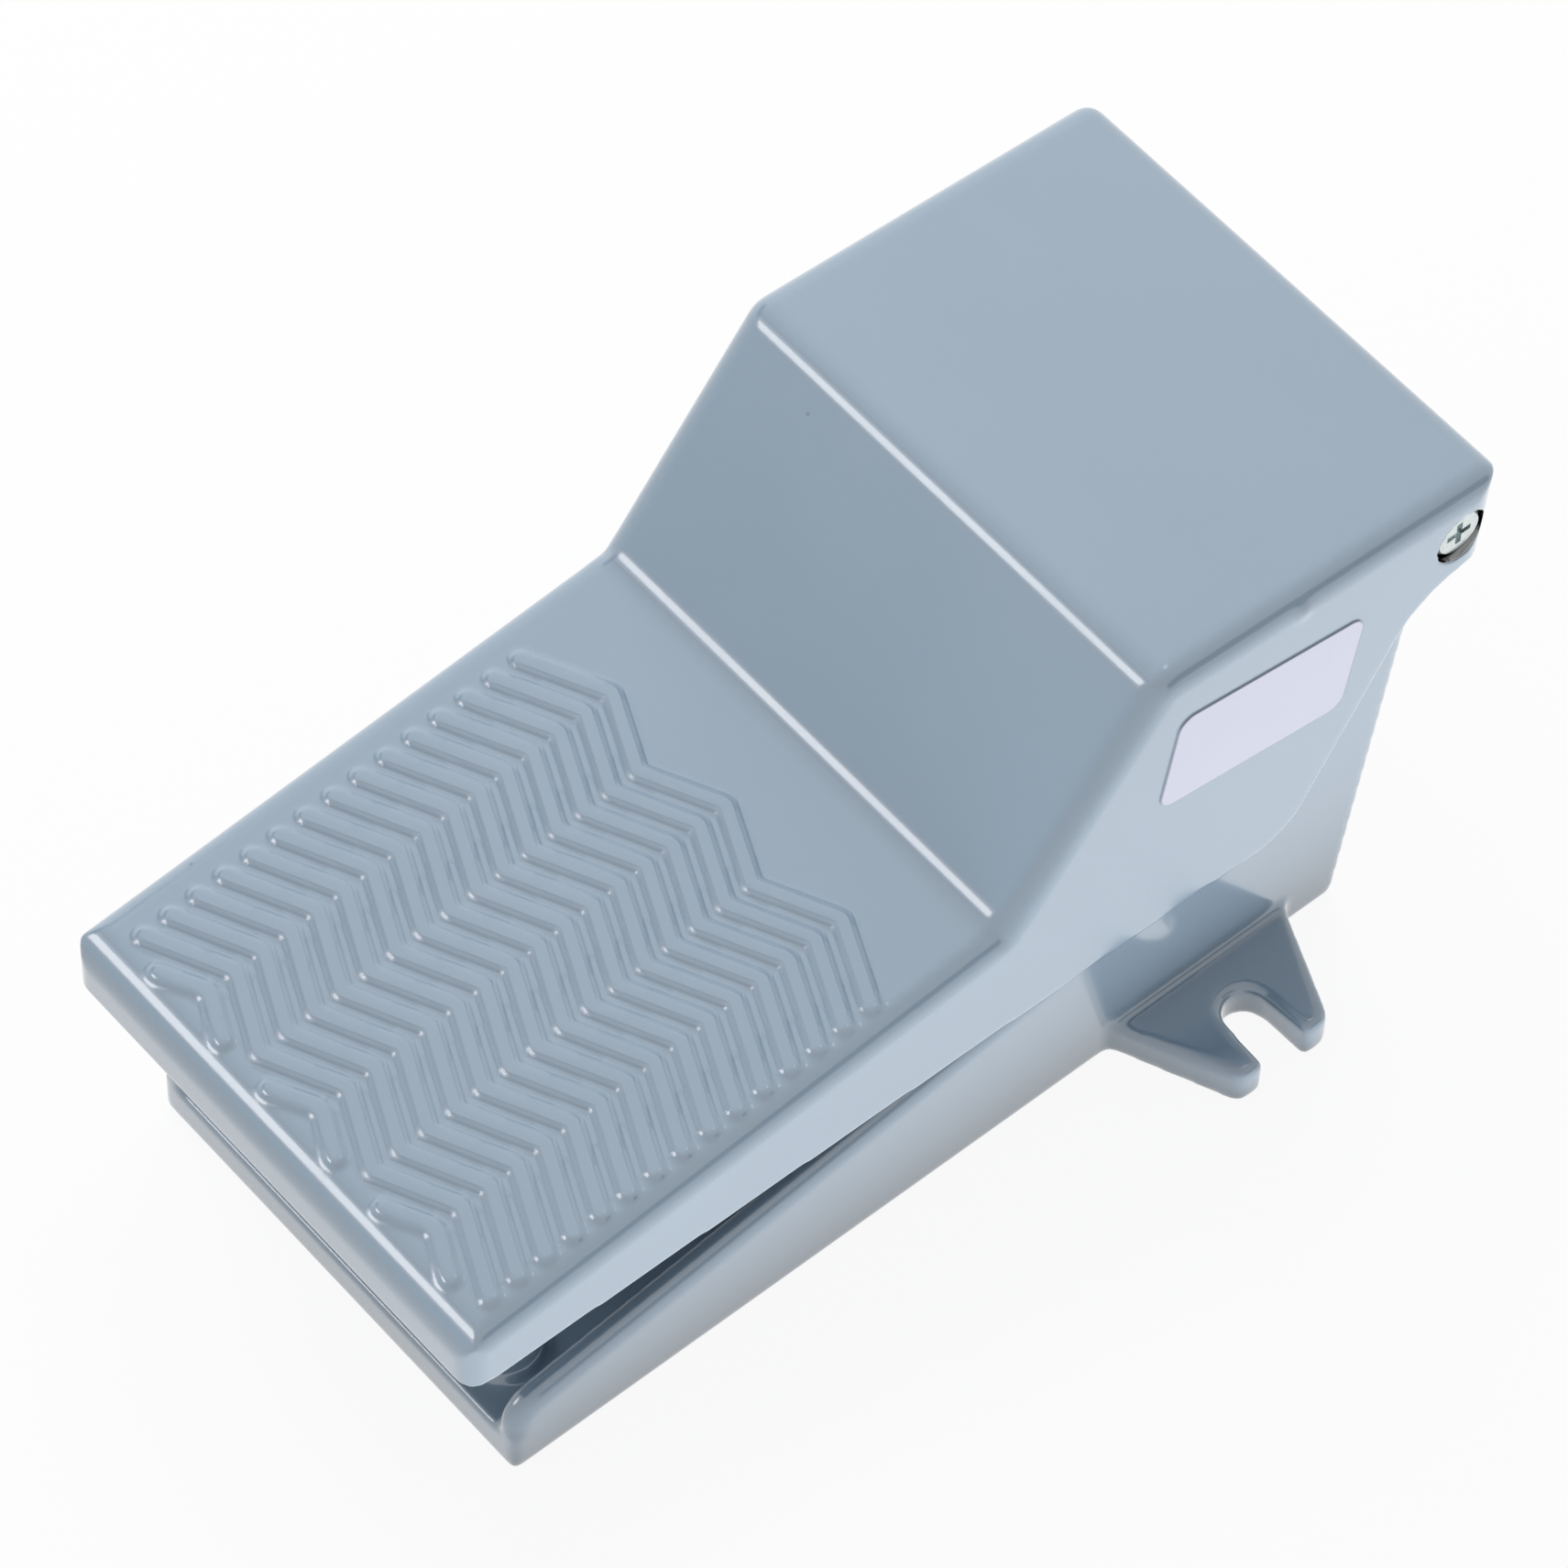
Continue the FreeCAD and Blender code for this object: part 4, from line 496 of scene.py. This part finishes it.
def make_enamel():
    material, tree, surface = start_material(
        "blue_grey_enamel", Coat_Roughness=0.09, Coat_IOR=1.65, IOR=1.6)
    colour = put_group(tree, "mottle", Colour=ENAMEL, Shift=0.05, Scale=45.0)["Colour"]
    dirt = put_group(tree, "specks", Scale=170.0, Size=0.1, Share=0.045)["Mask"]
    colour = put_mix(tree, put_math(tree, "MULTIPLY", dirt, SPECK_STRENGTH), colour, SPECK_COLOUR)
    bare = put_seat_mask(tree)
    pits = put_group(tree, "specks", Scale=95.0, Size=0.16, Share=0.05)["Mask"]
    relief = put_group(tree, "relief", Scale=420.0, Depth=12 * MICRON, Fine_Share=0.12,
                       Pits=put_math(tree, "MULTIPLY", pits, PIT_DEPTH))["Normal"]
    steps = put_group(tree, "rib_steps")["Height"]
    gloss = put_group(tree, "gloss", Low=0.16, High=0.24, Scale=30.0)["Roughness"]
    feed(tree, surface["Base Color"], put_mix(tree, bare, colour, BARE_CASTING))
    feed(tree, surface["Metallic"], bare)
    feed(tree, surface["Roughness"], gloss)
    feed(tree, surface["Coat Weight"], put_math(tree, "SUBTRACT", 1.0, bare))
    feed(tree, surface["Normal"], put_bump(tree, steps, STEP_DEPTH, Normal=relief))
    return material


METAL_SHIFT = 0.12
LINE_RANGE = (0.3, 0.7)
LINE_SHADES = (0.9, 1.06)


def make_metal(name, colour, low, high, stretch, line_scale, depth):
    material, tree, surface = start_material(name, Metallic=1.0)
    tint = put_group(tree, "mottle", Colour=colour, Shift=METAL_SHIFT, Scale=120.0)["Colour"]
    lines = put_group(tree, "lines", Stretch=stretch, Scale=line_scale, Depth=depth)
    shade = put_range(tree, lines["Lines"], *LINE_RANGE, *LINE_SHADES)
    gloss = put_group(tree, "gloss", Low=low, High=high, Scale=150.0)["Roughness"]
    feed(tree, surface["Base Color"], put_scaled(tree, tint, shade))
    feed(tree, surface["Roughness"], gloss)
    feed(tree, surface["Normal"], lines["Normal"])
    return material


def make_moulded(name, colour, low, high, scale, depth, shift=0.1,
                 grain_share=0.0, grain_colour=(0, 0, 0, 1), metallic=0.0):
    material, tree, surface = start_material(name, Metallic=metallic)
    tint = put_group(tree, "mottle", Colour=colour, Shift=shift, Scale=90.0)["Colour"]
    grains = put_group(tree, "specks", Scale=scale * 0.6, Size=0.3, Share=grain_share)["Mask"]
    gloss = put_group(tree, "gloss", Low=low, High=high, Scale=110.0)["Roughness"]
    relief = put_group(tree, "relief", Scale=scale, Depth=depth, Fine_Share=0.5, Pits=grains)
    feed(tree, surface["Base Color"], put_mix(tree, grains, tint, grain_colour))
    feed(tree, surface["Roughness"], gloss)
    feed(tree, surface["Normal"], relief["Normal"])
    return material


# The film's colour carries a painted shade: a darker line along its cut edge, where the film's edge shades the
# side
LABEL_FILM = linear(185, 187, 202)
LABEL_EDGE_SHADE = linear(120, 128, 140)
LABEL_EDGE_SHADE_RANGE = (0.45, 0.85)
LABEL_EDGE_SHADE_STRENGTH = 0.6


def make_label_film():
    material, tree, surface = start_material("label_film")
    tint = put_group(tree, "mottle", Colour=LABEL_FILM, Shift=0.05, Scale=80.0)["Colour"]
    rim = put_node(tree, "Attribute", attribute_name="rim")["Fac"]
    # painted shade along the film's edge, read from the rim attribute
    line = put_range(tree, rim, *LABEL_EDGE_SHADE_RANGE, 0.0, LABEL_EDGE_SHADE_STRENGTH)
    gloss = put_group(tree, "gloss", Low=0.34, High=0.46, Scale=60.0)["Roughness"]
    relief = put_group(tree, "relief", Scale=900.0, Depth=4 * MICRON, Fine_Share=0.5)
    feed(tree, surface["Base Color"], put_mix(tree, line, tint, LABEL_EDGE_SHADE))
    feed(tree, surface["Roughness"], gloss)
    feed(tree, surface["Normal"], relief["Normal"])
    return material


# How tool lines are squeezed: they run along the axis with the small share, or around Z
ALL_ROUND = (1.0, 1.0, 1.0)
ALONG_X = (0.04, 1.0, 1.0)
AROUND_Z = (0.05, 0.05, 1.0)

FINISHES = {
    "paint": make_enamel(),
    "zinc": make_metal("zinc_plate", linear(222, 230, 230), 0.16, 0.3,
                       ALL_ROUND, 1400.0, 2 * MICRON),
    "bronze": make_moulded("sintered_bronze", linear(168, 124, 78), 0.35, 0.5, 3000.0,
                           10 * MICRON, 0.2, 0.35, linear(104, 74, 44), metallic=1.0),
    "valve_aluminium": make_metal("satin_aluminium", linear(198, 200, 203), 0.3, 0.42,
                                  ALONG_X, 1500.0, 4 * MICRON),
    "cover_black": make_moulded("black_cover", linear(42, 43, 46), 0.42, 0.55, 2200.0,
                                10 * MICRON),
    "seal_rubber": make_moulded("seal_rubber", linear(30, 30, 31), 0.6, 0.75, 1800.0,
                                12 * MICRON),
    "spring_steel": make_metal("spring_wire", linear(150, 152, 156), 0.25, 0.4,
                               AROUND_Z, 2600.0, 4 * MICRON),
    "ground_steel": make_metal("ground_steel", linear(205, 206, 208), 0.12, 0.22,
                               AROUND_Z, 3200.0, 2 * MICRON),
    "nylon": make_moulded("white_nylon", linear(228, 226, 214), 0.38, 0.5, 1500.0,
                          8 * MICRON, 0.05),
    "label": make_label_film(),
}


def dress_nodes():
    for part in frame["record"]["subparts"]:
        for place in frame["nodes"][part["node"]].material_slots:
            place.material = FINISHES[part["material_slot"]]


# A new piece in the frame, with its finish, its body and the node it stands for
def place_piece(name, mesh, slot, body, node):
    piece = bpy.data.objects.new(name, mesh)
    scene.collection.objects.link(piece)
    mesh.materials.clear()
    mesh.materials.append(FINISHES[slot])
    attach(piece, body)
    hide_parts(node)
    return piece


def smooth_faces(mesh):
    mesh.polygons.foreach_set("use_smooth", [True] * len(mesh.polygons))
    mesh.update()


# Castings: the CAD solid rebuilt as an even net and eased, so that every edge has the soft
# round that casting and enamel give it. Points that stayed near a broad flat face go back onto
# it, so the faces are true and only the edges are round. The machined screw seats and the ribs
# are eased less and stay crisper.
SETTLE_NEAR = 0.03 * MM
SETTLE_FAR = 0.09 * MM
BROAD_FACE = 60 * MM * MM
SAME_PLANE = 0.9999
SAME_POINT = 0.0005 * MM
SEAT_REACH = 7.0 * MM
SEAT_EASE = 0.22
RIB_FOOT = -0.3 * MM
RIB_TOP = 2 * MM
RIB_END_Y = 0.0
RIB_EASE = 0.3
LAST_ROUNDS = 3


# A search tree of polygons, each given by its points
def search_tree(polygons):
    points, sides = [], []
    for polygon in polygons:
        sides.append(tuple(range(len(points), len(points) + len(polygon))))
        points += polygon
    return BVHTree.FromPolygons(points, sides)


# The solid's faces that belong to a broad flat one
def broad_faces(mesh):
    work = bmesh.new()
    work.from_mesh(mesh)
    bmesh.ops.remove_doubles(work, verts=work.verts, dist=SAME_POINT)
    work.normal_update()
    seen, kept = set(), []
    for first in work.faces:
        if first in seen:
            continue
        seen.add(first)
        patch, queue = [], [first]
        while queue:
            face = queue.pop()
            patch.append(face)
            for edge in face.edges:
                for other in edge.link_faces:
                    if other not in seen and other.normal.dot(first.normal) > SAME_PLANE:
                        seen.add(other)
                        queue.append(other)
        if sum(face.calc_area() for face in patch) > BROAD_FACE:
            kept += patch
    polygons = [[vert.co.copy() for vert in face.verts] for face in kept]
    work.free()
    return search_tree(polygons)


def read_points(mesh):
    points = np.empty(len(mesh.vertices) * 3)
    mesh.vertices.foreach_get("co", points)
    return points.reshape(-1, 3)


# Moves each point part of the way to the middle of its neighbours
def ease_points(mesh, points, rounds, ease):
    edges = np.empty(len(mesh.edges) * 2, dtype=np.int64)
    mesh.edges.foreach_get("vertices", edges)
    first, second = edges[0::2], edges[1::2]
    total = len(points)
    near = np.bincount(first, minlength=total) + np.bincount(second, minlength=total)
    for _ in range(rounds):
        middle = np.empty_like(points)
        for axis in range(3):
            along = points[:, axis]
            middle[:, axis] = (np.bincount(first, along[second], total)
                               + np.bincount(second, along[first], total)) / near
        points = points + 0.5 * ease[:, None] * (middle - points)
    return points


# Height of a point above the tread's plane
def above_tread(points):
    return points[:, 2] - TOE_HEIGHT - (points[:, 1] - TOE_Y) * math.tan(TREAD_SLOPE)


# Presses the edge between two faces to a broader round. Each face is given by its outward
# direction and every point's depth below it, and what stands on a face moves with it.
def round_edge(points, first, first_depth, second, second_depth, radius):
    cosine = (first * second).sum(-1)
    sine = np.sqrt(1 - cosine ** 2)
    one, two = radius - np.maximum(first_depth, 0), radius - np.maximum(second_depth, 0)
    along, back = (two - one * cosine) / sine, (one - two * cosine) / sine
    reach = np.hypot(one, along)
    near = (along > 0) & (back > 0) & (reach > radius)
    pressed = np.where(near, 1 - radius / np.maximum(reach, radius), 0)
    points -= (pressed * (one - along * cosine / sine))[:, None] * first
    points -= (pressed * along / sine)[:, None] * second


# The treadle's edges, each with the radius of its round, and its faces, each with its outward
# direction and a point on it in millimetres
TOE_ROUND = 7.0 * MM
RIDGE_ROUND = 6.5 * MM
SIDE_ROUND = 4.2 * MM
PLAN_ROUND = 4.0 * MM
HEEL_ROUND = 7.5 * MM
CREASE = (0, 1.5, 65.75)
RIDGE = (0, 32.4, 106.0)
HEEL = (0, 106.0, 101.3)
SIDE_OUT = np.array((1.0, 0, 0))
TOE_OUT = np.array((0, -1.0, 0))
HEEL_OUT = np.array((0, 0.9966, -0.0824))
TREAD_UP = np.array((0, -math.sin(TREAD_SLOPE), math.cos(TREAD_SLOPE)))
RISER_OUT = np.array((0, -math.sin(RISER_SLOPE), math.cos(RISER_SLOPE)))
HOOD_UP = np.array((0, math.sin(HOOD_SLOPE), math.cos(HOOD_SLOPE)))

# Small faults of the casting: place, reach and shift, in millimetres
BLEMISHES = (
    ((-13.4, 29.0, 104.9), 0.8, (0, -0.2, 0.35)),
    ((49.6, 61.5, 100.4), 1.4, (0.35, 0, 0.3)),
    ((-23.2, 53.3, 104.0), 0.6, (0, 0, -0.2)),
    ((8.6, 61.8, 103.4), 0.6, (0, 0, -0.2)),
    ((-50.0, 102.4, 98.0), 0.9, (0.3, -0.1, -0.2)),
)


def depth_below(points, out, through):
    return (np.array(through) * MM - points) @ out


def depth_inside(points):
    return TREADLE_HALF - np.abs(points[:, 0])


def shape_treadle(points):
    side = np.sign(points[:, :1]) * SIDE_OUT
    round_edge(points, side, depth_inside(points),
               TOE_OUT, points[:, 1] - TOE_Y, PLAN_ROUND)
    round_edge(points, side, depth_inside(points),
               HEEL_OUT, depth_below(points, HEEL_OUT, HEEL), HEEL_ROUND)
    round_edge(points, TOE_OUT, points[:, 1] - TOE_Y,
               TREAD_UP, depth_below(points, TREAD_UP, CREASE), TOE_ROUND)
    round_edge(points, RISER_OUT, depth_below(points, RISER_OUT, CREASE),
               HOOD_UP, depth_below(points, HOOD_UP, RIDGE), RIDGE_ROUND)
    tread = depth_below(points, TREAD_UP, CREASE)
    riser = depth_below(points, RISER_OUT, CREASE)
    hood = depth_below(points, HOOD_UP, RIDGE)
    upper = np.minimum(riser, hood)
    over_upper = np.where((riser < hood)[:, None], RISER_OUT, HOOD_UP)
    out = np.where((tread > upper)[:, None], TREAD_UP, over_upper)
    round_edge(points, side, depth_inside(points), out, np.maximum(tread, upper), SIDE_ROUND)
    for place, reach, lift in BLEMISHES:
        away = points - np.array(place) * MM
        height = np.exp(-(away ** 2).sum(1) / (reach * MM) ** 2)
        points += height[:, None] * np.array(lift) * MM


# The base's side walls have broad rounds along their outer rims
WALL_HALF = 45.25 * MM
WALL_INNER = 40.75 * MM
WALL_ROUND = 3.2 * MM
WALL_END = 34 * MM
FLOOR_TOP = 8.2 * MM
LEAST_GAP = 0.05 * MM


def is_wall_rim(face):
    middle, out = face.center, face.normal
    in_wall = WALL_INNER < abs(middle.x) < WALL_HALF and middle.y < WALL_END
    return in_wall and middle.z > FLOOR_TOP and abs(out.x) < 0.3 and (out.z > 0.1 or out.y < -0.5)


def shape_base(points):
    solid = frame["nodes"]["base"].data
    rims = search_tree([[solid.vertices[index].co for index in face.vertices]
                        for face in solid.polygons if is_wall_rim(face)])
    outward = np.abs(points[:, 0])
    at_rim = ((outward > WALL_HALF - WALL_ROUND) & (outward < WALL_HALF + MM)
              & (points[:, 1] < WALL_END))
    for index in np.nonzero(at_rim)[0]:
        point = Vector(points[index])
        spot, normal, _, _ = rims.find_nearest(point, WALL_ROUND)
        if spot is None or abs(spot.x - point.x) > MM:
            continue
        inward = Vector((0, *(point - spot).yz))
        if inward.length < LEAST_GAP or inward.dot(normal) > 0:
            inward = Vector((0, *(-normal).yz))
        inward.normalize()
        middle = spot + WALL_ROUND * inward
        down = -(point - middle).dot(inward)
        aside = abs(point.x) - (WALL_HALF - WALL_ROUND)
        reach = math.hypot(down, aside)
        if aside > 0 and down > 0 and reach > WALL_ROUND:
            scale = WALL_ROUND / reach
            point.yz = (middle - scale * down * inward).yz
            point.x = math.copysign(WALL_HALF - WALL_ROUND + scale * aside, point.x)
            points[index] = point


def even_net(source, name, voxel):
    draft = bpy.data.objects.new(name + "_draft", source.data.copy())
    scene.collection.objects.link(draft)
    net = draft.modifiers.new("net", "REMESH")
    net.mode = "VOXEL"
    net.voxel_size = voxel
    ready = draft.evaluated_get(bpy.context.evaluated_depsgraph_get())
    mesh = bpy.data.meshes.new_from_object(ready)
    mesh.name = name
    bpy.data.objects.remove(draft)
    return mesh


def ease_casting(node, name, body, voxel, rounds, shape):
    source = frame["nodes"][node]
    mesh = even_net(source, name, voxel)
    points = read_points(mesh)
    from_hinge = np.hypot(points[:, 1] - PIVOT.y, points[:, 2] - PIVOT.z)
    at_seat = (from_hinge < SEAT_REACH) & (np.abs(points[:, 0]) > SEAT_START)
    above = above_tread(points)
    on_ribs = (above > RIB_FOOT) & (above < RIB_TOP) & (points[:, 1] < RIB_END_Y)
    on_ribs &= node == "pedal"
    ease = np.where(at_seat, SEAT_EASE, np.where(on_ribs, RIB_EASE, 1.0))
    points = ease_points(mesh, points, rounds, ease)
    flat = broad_faces(source.data)
    for index, point in enumerate(points):
        spot, _, _, gap = flat.find_nearest(Vector(point), SETTLE_FAR)
        if spot is not None:
            keep = max((gap - SETTLE_NEAR) / (SETTLE_FAR - SETTLE_NEAR), 0)
            points[index] = np.array(spot) * (1 - keep) + point * keep
    shape(points)
    points = ease_points(mesh, points, LAST_ROUNDS, np.maximum(ease, RIB_EASE))
    mesh.vertices.foreach_set("co", points.ravel())
    smooth_faces(mesh)
    place_piece(name, mesh, "paint", body, node)


# Faces of a closed solid made of rings of points. Each ring runs counterclockwise as seen from
# the next one.
def ring_faces(rings, total):
    faces = []
    for ring in range(rings - 1):
        for index in range(total):
            after = (index + 1) % total
            faces.append((ring * total + index, ring * total + after,
                          (ring + 1) * total + after, (ring + 1) * total + index))
    last = (rings - 1) * total
    faces.append(tuple(last + index for index in range(total)))
    faces.append(tuple(reversed(range(total))))
    return faces


# Label: a blank film with a thin cut edge. Each ring has its inset in millimetres, its depth
# as a share of the film's thickness and its part in the painted shade along the edge.
LABEL_RINGS = ((0.0, 1.0, 0.3), (0.0, 0.28, 0.6), (0.07, 0.0, 1.0), (0.22, 0.0, 0.8),
               (0.34, 0.0, 0.0))
LABEL_SKIN = 0.02 * MM
LEAST_MITRE = 0.5


def make_label():
    node = frame["nodes"]["side_label"].data
    face = [vert.co.copy() for vert in node.vertices if vert.co.x > LABEL_HIGH.x - LABEL_SKIN]
    middle = sum(face, Vector()) / len(face)
    turn = {}
    for point in face:
        turn[round(math.atan2(point.z - middle.z, point.y - middle.y), 4)] = point
    outline = [turn[key] for key in sorted(turn)]
    total = len(outline)
    verts, marks = [], []
    for inset, depth, mark in LABEL_RINGS:
        for index, point in enumerate(outline):
            before, after = outline[index - 1], outline[(index + 1) % total]
            back = (point - before).normalized()
            ahead = (after - point).normalized()
            inward = Vector((0, -back.z - ahead.z, back.y + ahead.y)).normalized()
            mitre = max(inward.dot(Vector((0, -ahead.z, ahead.y))), LEAST_MITRE)
            x = LABEL_HIGH.x - depth * (LABEL_HIGH.x - LABEL_LOW.x)
            verts.append(Vector((x, point.y, point.z)) + inward * inset * MM / mitre)
            marks.append(mark)
    mesh = bpy.data.meshes.new("blank_label")
    mesh.from_pydata(verts, [], ring_faces(len(LABEL_RINGS), total))
    mesh.update()
    # the rim attribute places the painted shade along the film's edge
    rim = mesh.attributes.new("rim", "FLOAT", "POINT")
    rim.data.foreach_set("value", marks)
    place_piece("blank_label", mesh, "label", "treadle", "side_label")


WIRE_SIDES = 12
COIL_STEPS = 28
END_TURN = 0.8


# A round wire along a line of points
def tube_mesh(name, points, radius):
    verts = []
    for index, point in enumerate(points):
        ahead = points[min(index + 1, len(points) - 1)] - points[max(index - 1, 0)]
        ahead.normalize()
        side = ahead.cross(Vector((0, 0, 1))).normalized()
        lift = ahead.cross(side)
        for turn in range(WIRE_SIDES):
            angle = 2 * math.pi * turn / WIRE_SIDES
            verts.append(point + radius * (math.cos(angle) * side + math.sin(angle) * lift))
    mesh = bpy.data.meshes.new(name)
    mesh.from_pydata(verts, [], ring_faces(len(points), WIRE_SIDES))
    smooth_faces(mesh)
    return mesh


# Compression spring whose last turns lie against each other
def make_spring(name, node, centre, coil_radius, wire, turns):
    low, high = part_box(node)
    radius = coil_radius - wire / 2
    rise = high.z - low.z - wire * (1 + 2 * END_TURN)
    points = []
    for step in range(int(turns * COIL_STEPS) + 1):
        turn = step / COIL_STEPS
        closed = min(turn, END_TURN) + max(turn - (turns - END_TURN), 0)
        ramp = min(max((turn - END_TURN) / (turns - 2 * END_TURN), 0), 1)
        angle = 2 * math.pi * turn
        points.append(Vector((centre[0] + radius * math.cos(angle),
                              centre[1] + radius * math.sin(angle),
                              low.z + wire / 2 + wire * closed + ramp * rise)))
    piece = place_piece(name, tube_mesh(name, points, wire / 2), "spring_steel", "root", node)
    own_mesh(piece)


VOXEL = 0.5 * MM
BASE_VOXEL = VOXEL * 1.2
TREADLE_ROUNDS = 7
BASE_ROUNDS = 8
SPRING_PLACE = (0.0, -21 * MM)
SPOOL_PLACE = (0.0, 63 * MM)

make_camera()
make_studio()
dress_nodes()
ease_casting("pedal", "treadle_casting", "treadle", VOXEL, TREADLE_ROUNDS, shape_treadle)
ease_casting("base", "base_casting", "root", BASE_VOXEL, BASE_ROUNDS, shape_base)
make_label()
make_spring("treadle_spring", "pedal_spring", SPRING_PLACE,
            12 * MM, 2 * MM, 7.5)
make_spring("spool_return_spring", "spool_spring", SPOOL_PLACE,
            3.2 * MM, 0.8 * MM, 6.5)
